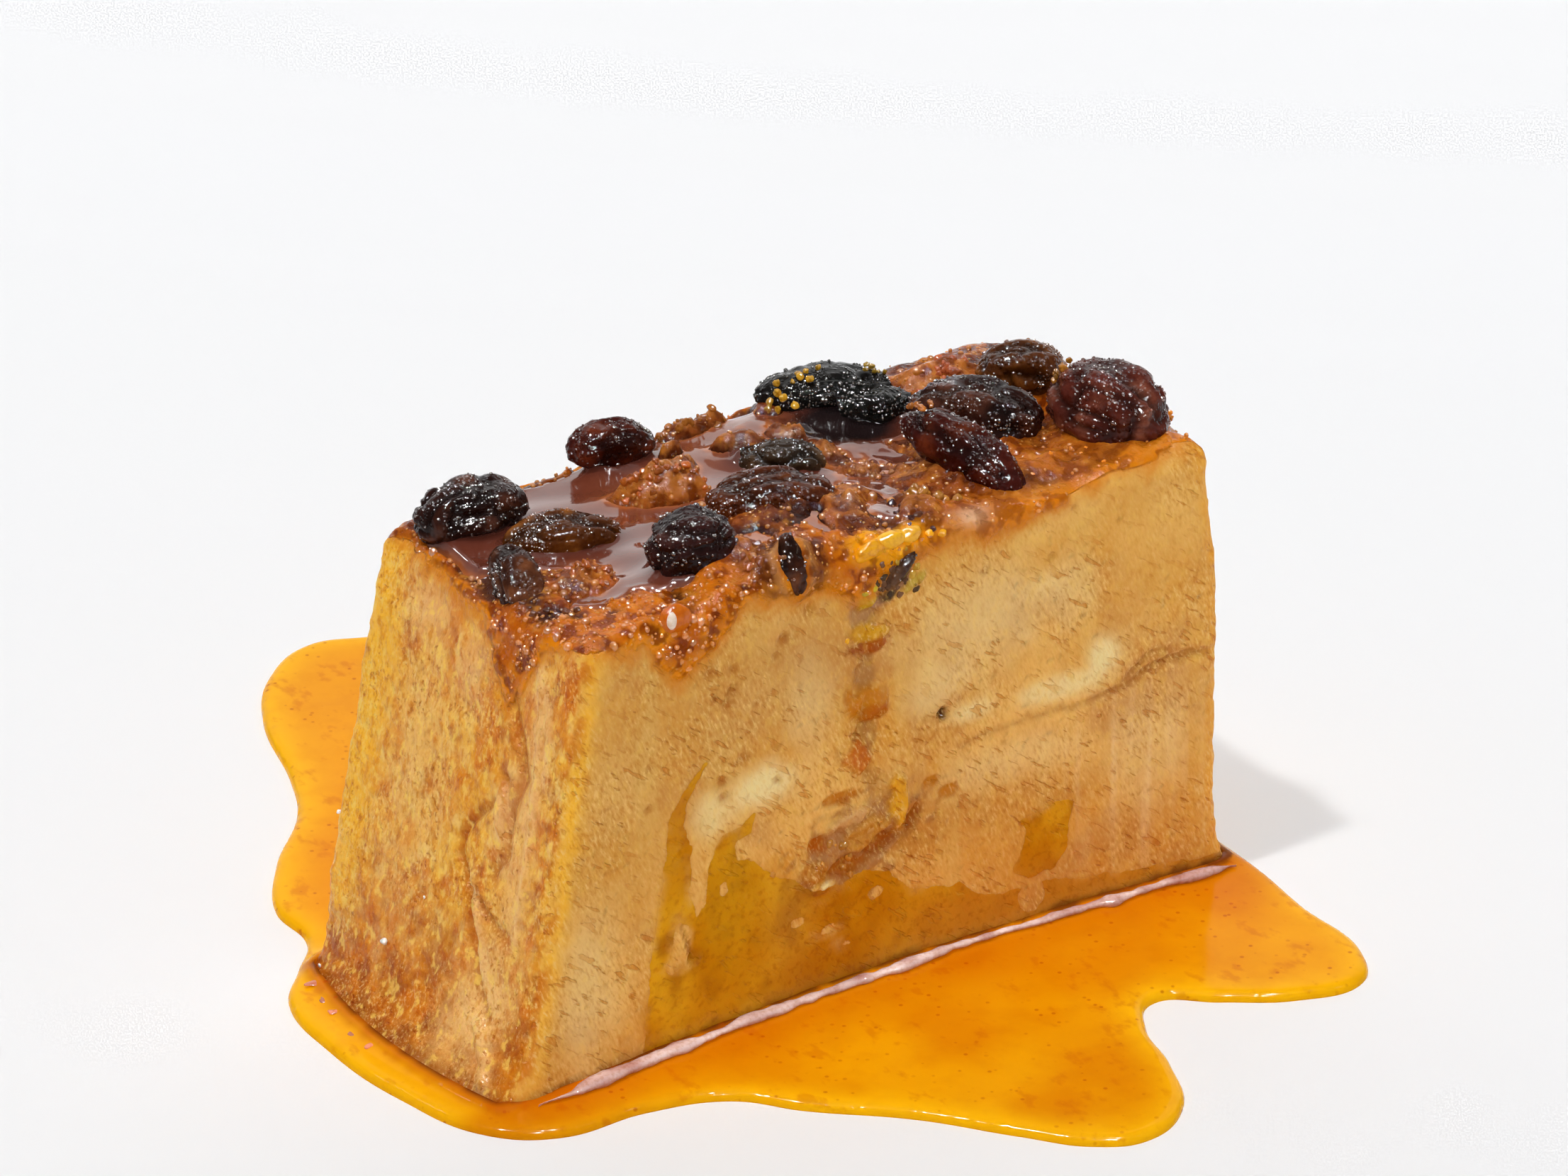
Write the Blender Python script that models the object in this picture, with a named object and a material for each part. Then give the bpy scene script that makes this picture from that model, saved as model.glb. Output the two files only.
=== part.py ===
"""A slice of raisin bread pudding, standing in the caramel sauce that has run off it.

X runs along the slice, Y across it and Z up.  The two long faces are cut faces, the two ends are
the sides that touched the tin, and the origin is the middle of the slice's base.  The slice is
one solid with a pocket around each raisin.  Sizes are in millimetres and turned into metres as
each mesh is made.
"""

import math
from collections import namedtuple

import bmesh
import bpy
from mathutils import Euler, Matrix, Vector

MM = 0.001
GAP = 0.35  # left between pieces that touch

# The slice
HALF_LENGTH = 54.5
HALF_WIDTH = 22.0
LEFT_HEIGHT = 59.4
RIGHT_HEIGHT = 60.4
SLICE_CELLS = (28, 13, 14)  # grid cells along X, Y and Z
RIM_RADIUS = (4.2, 1.9, 3.4)  # rounding of the upper rim along X, Y and Z
CRUST_LIP = 0.7  # how far the crust hangs out over the sides
CRUST_LIP_START = 54.0
CRUST_LIP_POWER = 5  # keeps the lip to the outermost grid lines
LIP_WAVES = (0.55, 1.0)  # turns of the lip's waves for each mm along X and Y, in radians

# The tin sides: the left one leans in most and swells towards the back, and both spread into a
# foot where they meet the sauce
LEFT_SIDE = -54.2
LEFT_LEAN = 0.198
LEFT_SWELL = 2.0
SWELL_RISE = (0.0, 14.0)  # heights between which the swell grows, and then fades
SWELL_FADE = (46.0, 76.0)
LEFT_FOOT = 2.9
LEFT_FOOT_HEIGHT = 3.5
LEFT_BULGE = 3.2
LEFT_BULGE_HEIGHT = 2.5
RIGHT_SIDE = 52.9
RIGHT_FOOT = 2.8
RIGHT_FOOT_HEIGHT = 4.0
RIGHT_BULGE = 0.6
RIGHT_TAPER = 2.2
RIGHT_TAPER_START = 38.0

# The cut faces: hollow along their middle, and the front one leans back a little
FRONT_CORNER = -24.0
FRONT_HOLLOW = 3.6
FRONT_LEAN = 0.9
BACK_CORNER = 22.4
BACK_HOLLOW = 0.8
HOLLOW_MIDDLE = 4.0
HOLLOW_REACH = 56.5

# Rises and dips of the crust: x, y, half length, half width, height
CRUST_MOUNDS = (
    (-6.0, -11.0, 12.0, 8.0, 3.2),
    (2.0, 16.0, 20.0, 8.0, 2.0),
    (41.0, 12.0, 8.0, 6.0, 0.7),
    (45.0, -16.0, 14.0, 10.0, 1.6),
    (20.0, -14.0, 12.0, 7.0, 0.3),
    (-31.0, -4.0, 8.0, 9.0, -0.7),
    (14.0, 3.0, 9.0, 7.0, -0.6),
)
CRUST_RISE = (-45.0, 50.0)  # the stretch of X over which the crust climbs to the right height
CRUST_WAVES = 0.35
LONG_WAVES = (0.42, 0.30)  # turns of the waves for each mm along X and Y, in radians
CROSS_WAVES = (-0.13, 0.55)
GRID_CROWDING = 0.55  # how strongly the grid lines crowd towards the slice's edges

# The sauce: its outline on the table, its depth and its rounded upper edge
SAUCE_DEPTH = 1.3
SAUCE_EDGE = 0.6
SAUCE_RIM_ANGLE = 60  # degrees between faces above which an upper edge is rounded
SAUCE_RIM_SHARE = 0.9  # share of the depth above which an edge is an upper one
SAUCE_OUTLINE = (
    (-3, 96), (-10, 98), (-19, 93), (-26, 83), (-32, 66), (-36, 58),  # back lobe
    (-46, 47), (-52, 37), (-53, 28), (-58, 22), (-63, 16), (-65, 3), (-64, -12), (-60, -25),  # left
    (-53, -30.5), (-41, -31.5), (-31, -35), (-25, -42), (-15, -51.5), (-7, -62), (-1, -69),
    (5, -71.5), (13, -68), (18, -59), (21, -50), (26, -45),  # front lobe
    (33, -49.5), (41, -54.5), (50, -56), (55, -50), (56, -37), (57.5, -26),  # front right lobe
    (58, -14), (58.5, 4), (58, 20), (51, 31), (36, 37), (24, 45), (18, 58), (14, 76), (6, 90),
)
FOOT_POINTS = (40, 16)  # points along the long and the short sides of the slice's base
FOOT_GAP = 0.455  # the sauce's distance from the slice
FOOT_CUTTER = (-2.0, 4.0)  # lowest and highest Z of the prism that cuts the sauce

# The raisins: middle, size along their own axes, and yaw, pitch and roll in degrees
Raisin = namedtuple("Raisin", "name middle size turn folds bend")
RAISINS = (
    Raisin("raisin_back_left", (-36.0, 14.2, 62.3), (15.2, 9.8, 8.6), (-8, -2, 0), 5, 0.6),
    Raisin("raisin_back", (-12.4, 18.2, 63.1), (12.2, 7.6, 6.8), (-11, 4, 8), 4, 0.4),
    Raisin("raisin_left_glazed", (-28.8, 4.8, 60.4), (15.0, 8.5, 5.6), (-20, 0, 0), 4, 0.8),
    Raisin("raisin_left_rim", (-39.6, -2.4, 59.6), (12.4, 6.8, 6.8), (78, -32, 0), 5, 0.8),
    Raisin("raisin_front", (-19.8, -10.3, 62.8), (11.6, 10.0, 10.8), (-12, 0, 0), 5, 0.2),
    Raisin("raisin_front_upright", (-11.2, -19.3, 60.8), (10.6, 5.4, 4.6), (84, -72, 0), 3, 0.2),
    Raisin("raisin_middle_glazed", (-4.2, -4.6, 62.9), (16.5, 9.5, 6.0), (-22, 0, 0), 4, 0.6),
    Raisin("raisin_middle_sunk", (4.6, 6.2, 61.0), (11.5, 7.5, 5.0), (-38, 0, 0), 4, 0.3),
    Raisin("raisin_back_flat", (18.8, 16.6, 63.2), (18.0, 9.6, 6.0), (-25, 0, 0), 3, 0.5),
    Raisin("raisin_small_pooled", (22.3, 10.6, 62.3), (10.0, 6.6, 4.8), (-22, 0, 0), 4, 0.2),
    Raisin("raisin_long", (22.4, -9.2, 63.4), (19.6, 8.2, 8.0), (-72, 20, 0), 4, 0.9),
    Raisin("raisin_right", (30.4, 0.0, 63.3), (17.5, 10.6, 8.8), (-44, 2, 0), 5, 0.5),
    Raisin("raisin_large", (43.4, -10.4, 64.7), (16.4, 13.4, 12.8), (-64, 9, 0), 5, 0.9),
    Raisin("raisin_back_right", (42.0, 6.4, 63.4), (11.8, 8.8, 7.8), (-24, 0, 0), 4, 0.5),
    Raisin("raisin_cut_face", (4.6, -19.6, 56.2), (10.4, 4.4, 3.8), (0, -43, 0), 3, 0.1),
    Raisin("raisin_crumb", (9.6, -16.4, 60.4), (7.2, 4.0, 4.2), (14, 10, 0), 3, 0.2),
)
RAISIN_GRID = (12, 8)
FOLD_DEPTH = 0.13
FOLD_TWIST = 1.4

COLORS = {
    "pudding": ((0.62, 0.33, 0.10), 0.55),
    "raisin": ((0.055, 0.016, 0.010), 0.28),
    "sauce": ((0.78, 0.33, 0.02), 0.12),
}


def ramp(low, high, value):
    """Ease from 0 at low to 1 at high."""
    share = min(max((value - low) / (high - low), 0.0), 1.0)
    return share * share * (3 - 2 * share)


def bowed(value, half):
    """1 in the middle of a side and 0 at both its corners."""
    return max(0.0, 1 - (value / half) ** 2)


def left_side(y, z):
    """X of the left tin side."""
    bow = bowed(y, HALF_WIDTH)
    foot_height = LEFT_FOOT_HEIGHT + LEFT_BULGE_HEIGHT * bow
    foot = (LEFT_FOOT + LEFT_BULGE * bow) * math.exp(-z / foot_height)
    swell = LEFT_SWELL * (y / HALF_WIDTH + 1) / 2 * ramp(*SWELL_RISE, z) * (1 - ramp(*SWELL_FADE, z))
    return LEFT_SIDE + LEFT_LEAN * z - foot - swell


def right_side(y, z):
    """X of the right tin side."""
    bow = bowed(y, HALF_WIDTH)
    foot = (RIGHT_FOOT + RIGHT_BULGE * bow) * math.exp(-z / RIGHT_FOOT_HEIGHT)
    return RIGHT_SIDE + foot - RIGHT_TAPER * ramp(RIGHT_TAPER_START, RIGHT_HEIGHT, z)


def front_face(x, z):
    """Y of the front cut face."""
    hollow = FRONT_HOLLOW * bowed(x - HOLLOW_MIDDLE, HOLLOW_REACH)
    return FRONT_CORNER + hollow + FRONT_LEAN * z / LEFT_HEIGHT


def back_face(x):
    """Y of the back cut face."""
    return BACK_CORNER - BACK_HOLLOW * bowed(x - HOLLOW_MIDDLE, HOLLOW_REACH)


def wave(turns, x, y):
    """A wave over the crust, from -1 to 1."""
    return math.sin(turns[0] * x + turns[1] * y)


def crust_height(x, y):
    """Top of the crust above the table."""
    level = LEFT_HEIGHT + (RIGHT_HEIGHT - LEFT_HEIGHT) * ramp(*CRUST_RISE, x)
    for mound_x, mound_y, half_x, half_y, height in CRUST_MOUNDS:
        reach = ((x - mound_x) / half_x) ** 2 + ((y - mound_y) / half_y) ** 2
        level += height * math.exp(-reach)
    return level + CRUST_WAVES * wave(LONG_WAVES, x, y) * wave(CROSS_WAVES, x, y)


def rounded(point):
    """Move a point of the plain block onto its rounded upper rim."""
    half = (HALF_LENGTH, HALF_WIDTH, LEFT_HEIGHT)
    core = [
        min(max(point[0], RIM_RADIUS[0] - half[0]), half[0] - RIM_RADIUS[0]),
        min(max(point[1], RIM_RADIUS[1] - half[1]), half[1] - RIM_RADIUS[1]),
        min(point[2], half[2] - RIM_RADIUS[2]),
    ]
    lean = [(point[i] - core[i]) / RIM_RADIUS[i] for i in range(3)]
    length = math.sqrt(sum(part * part for part in lean))
    if length < 1e-6:
        return point
    return [core[i] + RIM_RADIUS[i] * lean[i] / length for i in range(3)]


def slice_point(along, across, up):
    """A point of the slice; along and across run from -1 to 1, and up runs from 0 to 1."""
    x, y, z = rounded([along * HALF_LENGTH, across * HALF_WIDTH, up * LEFT_HEIGHT])
    share = (x / HALF_LENGTH + 1) / 2
    x = left_side(y, z) * (1 - share) + right_side(y, z) * share
    share = (y / HALF_WIDTH + 1) / 2
    y = front_face(x, z) * (1 - share) + back_face(x) * share
    lip = CRUST_LIP * ramp(CRUST_LIP_START, LEFT_HEIGHT, z) * (0.6 + 0.4 * wave(LIP_WAVES, x, y))
    height = z * crust_height(x, y) / LEFT_HEIGHT
    return x + lip * along ** CRUST_LIP_POWER, y + lip * across ** CRUST_LIP_POWER, height


def spread(value):
    """Draw evenly spaced grid lines from -1 to 1 closer to the two ends."""
    return (1 - GRID_CROWDING) * value + GRID_CROWDING * math.sin(value * math.pi / 2)


def material(name, key):
    """A Principled material in one of the part's colours."""
    color, roughness = COLORS[key]
    result = bpy.data.materials.new(name)
    result.use_nodes = True
    shader = result.node_tree.nodes["Principled BSDF"]
    shader.inputs["Base Color"].default_value = (*color, 1.0)
    shader.inputs["Roughness"].default_value = roughness
    shader.inputs["Metallic"].default_value = 0.0
    result.diffuse_color = (*color, 1.0)
    return result


def add_object(name, shape, collection, key=None):
    """Wrap a bmesh in an object; a shape with no colour key is a cutter."""
    mesh = bpy.data.meshes.new(name)
    shape.to_mesh(mesh)
    shape.free()
    result = bpy.data.objects.new(name, mesh)
    collection.objects.link(result)
    if key is None:
        result.hide_render = True
        result.display_type = "WIRE"
    else:
        mesh.materials.append(material(name, key))
        mesh.shade_smooth()
    return result


def cut(target, cutter):
    """Take the cutter's shape out of the target."""
    modifier = target.modifiers.new("cut_" + cutter.name, "BOOLEAN")
    modifier.operation = "DIFFERENCE"
    modifier.solver = "EXACT"
    modifier.object = cutter


def slice_shape():
    """The block as a grid of cells, with every point moved to its place on the slice."""
    shape = bmesh.new()
    bmesh.ops.create_cube(shape, size=2.0)
    for axis, cells in enumerate(SLICE_CELLS):
        edges = [
            edge for edge in shape.edges
            if abs(edge.verts[0].co[axis] - edge.verts[1].co[axis]) > 1.0
        ]
        bmesh.ops.subdivide_edges(shape, edges=edges, cuts=cells - 1, use_grid_fill=True)
    for vertex in shape.verts:
        along, across, height = vertex.co
        up = (spread(height) + 1) / 2
        vertex.co = Vector(slice_point(spread(along), spread(across), up)) * MM
    return shape


def raisin_shape(raisin, grow=0.0):
    """A wrinkled, slightly bent drop of fruit, lying along X."""
    shape = bmesh.new()
    bmesh.ops.create_uvsphere(shape, u_segments=RAISIN_GRID[0], v_segments=RAISIN_GRID[1], radius=1.0)
    bmesh.ops.rotate(shape, verts=shape.verts, matrix=Matrix.Rotation(math.pi / 2, 3, "Y"))
    half = [side / 2 + grow for side in raisin.size]
    for vertex in shape.verts:
        along, across, up = vertex.co
        around = math.atan2(across, up)
        fold = 0.5 + 0.5 * math.cos(raisin.folds * around + FOLD_TWIST * along)
        girth = 1 - FOLD_DEPTH * fold * (1 - along * along)
        drop = raisin.bend * along * along
        vertex.co = Vector((along * half[0], across * girth * half[1], up * girth * half[2] - drop)) * MM
    return shape


def place_raisin(piece, raisin):
    """Set a raisin or its pocket where it lies."""
    yaw, pitch, roll = (math.radians(angle) for angle in raisin.turn)
    piece.location = Vector(raisin.middle) * MM
    piece.rotation_euler = Euler((roll, pitch, yaw))


def near(first, second):
    """Whether two raisins lie close enough to press on each other."""
    reach = (max(first.size) + max(second.size)) / 2
    return (Vector(first.middle) - Vector(second.middle)).length < reach


def foot_shape():
    """A prism around the slice's base, wider than the slice on every side."""
    long_side, short_side = FOOT_POINTS
    corners = [(-1, -1), (1, -1), (1, 1), (-1, 1)]
    counts = [long_side, short_side, long_side, short_side]
    outline = []
    for index, count in enumerate(counts):
        start, end = Vector(corners[index]), Vector(corners[(index + 1) % 4])
        for step in range(count):
            along, across = start.lerp(end, step / count)
            x, y, _ = slice_point(along, across, 0.0)
            outline.append(Vector((x, y, 0.0)))
    shape = bmesh.new()
    ring = []
    low, high = FOOT_CUTTER
    for index, point in enumerate(outline):
        along = outline[(index + 1) % len(outline)] - outline[index - 1]
        outward = Vector((along.y, -along.x, 0.0)).normalized()
        ring.append(shape.verts.new((point + outward * FOOT_GAP + Vector((0, 0, low))) * MM))
    face = shape.faces.new(ring)
    raised = bmesh.ops.extrude_face_region(shape, geom=[face])["geom"]
    tops = [item for item in raised if isinstance(item, bmesh.types.BMVert)]
    bmesh.ops.translate(shape, verts=tops, vec=Vector((0, 0, high - low)) * MM)
    bmesh.ops.recalc_face_normals(shape, faces=shape.faces)
    return shape


def sauce_shape(collection):
    """The pool's outline as a smooth flat curve, thickened and rounded along its upper edge."""
    curve = bpy.data.curves.new("sauce_outline", "CURVE")
    curve.dimensions = "2D"
    curve.fill_mode = "BOTH"
    curve.resolution_u = 2
    curve.extrude = SAUCE_DEPTH / 2 * MM
    spline = curve.splines.new("BEZIER")
    spline.bezier_points.add(len(SAUCE_OUTLINE) - 1)
    for knot, (x, y) in zip(spline.bezier_points, SAUCE_OUTLINE):
        knot.co = Vector((x, y, 0.0)) * MM
        knot.handle_left_type = knot.handle_right_type = "AUTO"
    spline.use_cyclic_u = True
    outline = bpy.data.objects.new("sauce_outline", curve)
    collection.objects.link(outline)
    evaluated = outline.evaluated_get(bpy.context.evaluated_depsgraph_get())
    mesh = bpy.data.meshes.new_from_object(evaluated)
    shape = bmesh.new()
    shape.from_mesh(mesh)
    bpy.data.objects.remove(outline)
    bpy.data.meshes.remove(mesh)
    bmesh.ops.remove_doubles(shape, verts=shape.verts, dist=0.00001)
    bmesh.ops.translate(shape, verts=shape.verts, vec=Vector((0, 0, SAUCE_DEPTH / 2)) * MM)
    bmesh.ops.recalc_face_normals(shape, faces=shape.faces)
    rim = [
        edge for edge in shape.edges
        if edge.calc_face_angle(0.0) > math.radians(SAUCE_RIM_ANGLE)
        and min(vertex.co.z for vertex in edge.verts) > SAUCE_DEPTH * SAUCE_RIM_SHARE * MM
    ]
    bmesh.ops.bevel(shape, geom=rim, offset=SAUCE_EDGE * MM, segments=2, profile=0.5, affect="EDGES")
    return shape


def build():
    """Make the slice, its raisins and the sauce."""
    for item in list(bpy.data.objects):
        bpy.data.objects.remove(item)
    parts = bpy.data.collections.new("bread_pudding")
    cutters = bpy.data.collections.new("cutters")
    for collection in (parts, cutters):
        bpy.context.scene.collection.children.link(collection)

    pudding = add_object("pudding", slice_shape(), parts, "pudding")
    pockets = {}
    for index, raisin in enumerate(RAISINS):
        pocket = add_object("pocket_" + raisin.name, raisin_shape(raisin, GAP), cutters)
        place_raisin(pocket, raisin)
        pockets[raisin.name] = pocket
        cut(pudding, pocket)
        piece = add_object(raisin.name, raisin_shape(raisin), parts, "raisin")
        place_raisin(piece, raisin)
        for other in RAISINS[:index]:
            if near(raisin, other):
                cut(piece, pockets[other.name])

    foot = add_object("slice_foot", foot_shape(), cutters)
    sauce = add_object("caramel_sauce", sauce_shape(parts), parts, "sauce")
    cut(sauce, foot)


build()
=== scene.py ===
"""The looks of a slice of raisin bread pudding standing in its caramel sauce.

Sizes and places are in millimetres, in the CAD's frame: X runs along the slice, Y across it, Z up.
Each mesh is worked out with numpy and turned into metres as it is made.  Colours are written as
sRGB values from 0 to 255.  The meshes carry painted layers: colours at each vertex, such as
"tone", distances in mm to an edge, such as "wet", which the materials sharpen into crisp borders,
and shares from 0 to 1, such as "soaked".
"""

import itertools
import math
from collections import namedtuple

import bmesh
import bpy
import numpy as np
from mathutils import Euler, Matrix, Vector
from mathutils.geometry import delaunay_2d_cdt

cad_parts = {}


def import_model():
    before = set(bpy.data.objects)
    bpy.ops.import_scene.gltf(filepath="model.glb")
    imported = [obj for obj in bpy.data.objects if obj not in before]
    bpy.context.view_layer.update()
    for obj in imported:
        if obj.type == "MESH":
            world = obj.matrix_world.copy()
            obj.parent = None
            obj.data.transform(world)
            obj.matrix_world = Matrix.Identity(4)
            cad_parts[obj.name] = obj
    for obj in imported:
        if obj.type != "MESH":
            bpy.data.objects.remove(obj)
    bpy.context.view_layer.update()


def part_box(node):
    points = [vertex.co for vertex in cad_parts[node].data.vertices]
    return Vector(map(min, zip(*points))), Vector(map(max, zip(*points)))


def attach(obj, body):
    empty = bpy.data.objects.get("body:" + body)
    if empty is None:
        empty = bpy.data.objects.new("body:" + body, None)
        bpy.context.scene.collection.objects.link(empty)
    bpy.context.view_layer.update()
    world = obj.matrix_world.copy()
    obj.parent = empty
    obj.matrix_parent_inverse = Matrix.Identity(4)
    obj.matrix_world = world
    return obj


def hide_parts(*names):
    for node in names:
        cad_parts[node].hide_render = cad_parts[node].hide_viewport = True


MM = 0.001
BODY = "root"

# The view: the photograph's frame is 2212 x 1659
AZIMUTH, ELEVATION = -34.6, 27.4
DISTANCE = 1000.0
TARGET = (0.0, 0.0, 30.0)
AIM_UP, AIM_RIGHT = 15.1, 0.83
SENSOR, LENS = 36.0, 182.8

# The light
WORLD_COLOR = (1.0, 0.985, 0.96)
WORLD_STRENGTH = 0.26
SUN_ELEVATION = 67.0
SUN_ANGLE = 3.4
SUN_STRENGTH = 0.92
# Soft studio lights that throw no shadow: azimuth, elevation, strength
FILLS = ((-25.0, 58.0, 0.86), (38.0, 52.0, 0.38), (-150.0, 48.0, 0.22))
FILL_ANGLE = 5.0
# Small lights that show only as highlights on wet surfaces: azimuth, elevation, strength
SPARKLES = ((-90.0, 67.0, 6.0), (-25.0, 58.0, 5.0), (-5.0, 74.0, 5.5))
SPARKLE_ANGLE = 2.2
# Large soft panels: azimuth and elevation of their middle, distance, width, height, brightness
PANELS = (
    (145.4, 26.0, 1500.0, 2600.0, 1500.0, 0.85),
    (-40.0, 84.0, 1200.0, 500.0, 700.0, 0.9),
)
FLOOR_HALF = 2000.0
FLOOR_LEVEL = -0.02
FLOOR_COLOR = (0.832, 0.84, 0.857, 1.0)

# The slice, as in the CAD part
HALF_LENGTH, HALF_WIDTH = 54.5, 22.0
LEFT_HEIGHT, RIGHT_HEIGHT = 59.4, 60.4
RIM_RADIUS = (4.2, 1.9, 3.4)
CRUST_LIP, CRUST_LIP_START, CRUST_LIP_POWER = 0.7, 54.0, 5
LIP_WAVES = (0.55, 1.0)
LEFT_SIDE, LEFT_LEAN = -54.2, 0.198
LEFT_SWELL, SWELL_RISE, SWELL_FADE = 2.0, (0.0, 14.0), (46.0, 76.0)
LEFT_FOOT, LEFT_FOOT_HEIGHT = 2.9, 3.5
LEFT_BULGE, LEFT_BULGE_HEIGHT = 3.2, 2.5
RIGHT_SIDE, RIGHT_FOOT, RIGHT_FOOT_HEIGHT, RIGHT_BULGE = 52.9, 2.8, 4.0, 0.6
RIGHT_TAPER, RIGHT_TAPER_START = 2.2, 38.0
FRONT_CORNER, FRONT_HOLLOW, FRONT_LEAN = -24.0, 3.6, 0.9
BACK_CORNER, BACK_HOLLOW = 22.4, 0.8
HOLLOW_MIDDLE, HOLLOW_REACH = 4.0, 56.5
CRUST_RISE = (-45.0, 50.0)
CRUST_WAVES, LONG_WAVES, CROSS_WAVES = 0.35, (0.42, 0.30), (-0.13, 0.55)
CRUST_MOUNDS = (
    (-6.0, -11.0, 12.0, 8.0, 3.2),
    (2.0, 16.0, 20.0, 8.0, 2.0),
    (41.0, 12.0, 8.0, 6.0, 0.7),
    (45.0, -16.0, 14.0, 10.0, 1.6),
    (20.0, -14.0, 12.0, 7.0, 0.3),
    (-31.0, -4.0, 8.0, 9.0, -0.7),
    (14.0, 3.0, 9.0, 7.0, -0.6),
)
SLICE_CELLS = (224, 92, 125)

# The sauce on the table
SAUCE_DEPTH = 1.3
SAUCE_OUTLINE = (
    (-3, 96), (-10, 98), (-19, 93), (-26, 83), (-32, 66), (-36, 58),  # back lobe
    (-46, 47), (-52, 37), (-53, 28), (-58, 22), (-63, 16), (-65, 3), (-64, -12), (-60, -25),  # left
    (-53, -30.5), (-41, -31.5), (-31, -35), (-25, -42), (-15, -51.5), (-7, -62), (-1, -69),
    (5, -71.5), (13, -68), (18, -59), (21, -50), (26, -45),  # front lobe
    (33, -49.5), (41, -54.5), (50, -56), (55, -50), (56, -37), (57.5, -26),  # front right lobe
    (58, -14), (58.5, 4), (58, 20), (51, 31), (36, 37), (24, 45), (18, 58), (14, 76), (6, 90),
)

# The raisins: size along their own axes, turn as yaw, pitch and roll in degrees, number of folds
# round them, bend, share of that size that shows, and look
Raisin = namedtuple("Raisin", "name size turn folds bend share look")
RAISINS = (
    Raisin("raisin_back_left", (15.2, 9.8, 8.6), (-8, -2, 0), 5, 0.6, 1.0, "black"),
    Raisin("raisin_back", (12.2, 7.6, 6.8), (-11, 4, 8), 4, 0.4, 1.0, "red"),
    Raisin("raisin_left_glazed", (15.0, 8.5, 5.6), (-20, 0, 0), 4, 0.8, 1.0, "glazed"),
    Raisin("raisin_left_rim", (12.4, 6.8, 6.8), (78, -32, 0), 5, 0.8, 1.0, "brown"),
    Raisin("raisin_front", (11.6, 10.0, 10.8), (-12, 0, 0), 5, 0.2, 1.0, "purple"),
    Raisin("raisin_front_upright", (10.6, 5.4, 4.6), (84, -72, 0), 3, 0.2, 0.80, "brown"),
    Raisin("raisin_middle_glazed", (16.5, 9.5, 6.0), (-22, 0, 0), 4, 0.6, 1.0, "caramel"),
    Raisin("raisin_middle_sunk", (11.5, 7.5, 5.0), (-38, 0, 0), 4, 0.3, 1.0, "grey"),
    Raisin("raisin_back_flat", (18.0, 9.6, 6.0), (-25, 0, 0), 3, 0.5, 1.0, "ink"),
    Raisin("raisin_small_pooled", (10.0, 6.6, 4.8), (-22, 0, 0), 4, 0.2, 1.0, "ink"),
    Raisin("raisin_long", (19.6, 8.2, 8.0), (-72, 20, 0), 4, 0.9, 1.0, "red"),
    Raisin("raisin_right", (17.5, 10.6, 8.8), (-44, 2, 0), 5, 0.5, 1.0, "black"),
    Raisin("raisin_large", (16.4, 13.4, 12.8), (-64, 9, 0), 5, 0.9, 1.0, "plum"),
    Raisin("raisin_back_right", (11.8, 8.8, 7.8), (-24, 0, 0), 4, 0.5, 1.0, "glazed"),
    Raisin("raisin_cut_face", (10.4, 4.4, 3.8), (0, -43, 0), 3, 0.1, 0.60, "smeared"),
    Raisin("raisin_crumb", (7.2, 4.0, 4.2), (14, 10, 0), 3, 0.2, 0.78, "brown"),
)
FOLD_DEPTH, FOLD_TWIST = 0.13, 1.4
RAISIN_GRID = (66, 80)  # rows along a raisin and points around it
RAISIN_BEADS = 1.5  # drops of syrup for each square mm of a raisin's plan
RAISIN_BEAD_SIZE = (0.18, 0.35, 0.11, 0.4)  # usual half size in mm, its spread, least and most
# Skin colour and the colour that shows in its lighter parts
RAISIN_LOOKS = {
    "black": ((44, 17, 10), (104, 58, 40)),
    "red": ((64, 16, 8), (118, 50, 24)),
    "purple": ((56, 24, 20), (118, 74, 64)),
    "plum": ((92, 36, 24), (156, 92, 68)),
    "ink": ((20, 17, 15), (44, 42, 38)),
    "grey": ((50, 36, 24), (116, 86, 58)),
    "glazed": ((88, 44, 12), (172, 104, 42)),
    "caramel": ((88, 38, 12), (166, 94, 38)),
    "smeared": ((70, 44, 34), (146, 108, 74)),
    "brown": ((58, 26, 12), (128, 74, 42)),
}


# ---------------------------------------------------------------- numbers and noise

def rgb(*values):
    """Linear colour from sRGB values of 0 to 255."""
    shares = np.array(values, float) / 255
    return np.where(shares <= 0.04045, shares / 12.92, ((shares + 0.055) / 1.055) ** 2.4)


def ramp(low, high, value):
    """Ease from 0 at low to 1 at high."""
    share = np.clip((np.asarray(value, float) - low) / (high - low), 0.0, 1.0)
    return share * share * (3 - 2 * share)


def bowed(value, half):
    """1 in the middle of a side and 0 at both its corners."""
    return np.maximum(0.0, 1 - (value / half) ** 2)


def on_plane(x, y):
    """Points at height 0."""
    return np.stack([x, y, np.zeros_like(x)], axis=1)


def bump_at(x, y, middle, half, turn=0.0):
    """A round rise, 1 at its middle, over an ellipse turned by some degrees."""
    angle = math.radians(turn)
    along = (x - middle[0]) * math.cos(angle) + (y - middle[1]) * math.sin(angle)
    across = (y - middle[1]) * math.cos(angle) - (x - middle[0]) * math.sin(angle)
    return np.exp(-((along / half[0]) ** 2 + (across / half[1]) ** 2))


def hashed(cell, seed):
    """A repeatable random number from 0 to 1 for each cell of a lattice."""
    key = cell[..., 0] * 73856093 ^ cell[..., 1] * 19349663 ^ cell[..., 2] * 83492791
    key = (key ^ seed * 668265263) & 0xFFFFFFFF
    for _ in range(2):
        key = ((key ^ key >> 15) * 739982445) & 0xFFFFFFFF
    return (key ^ key >> 13) / 0xFFFFFFFF


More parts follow.
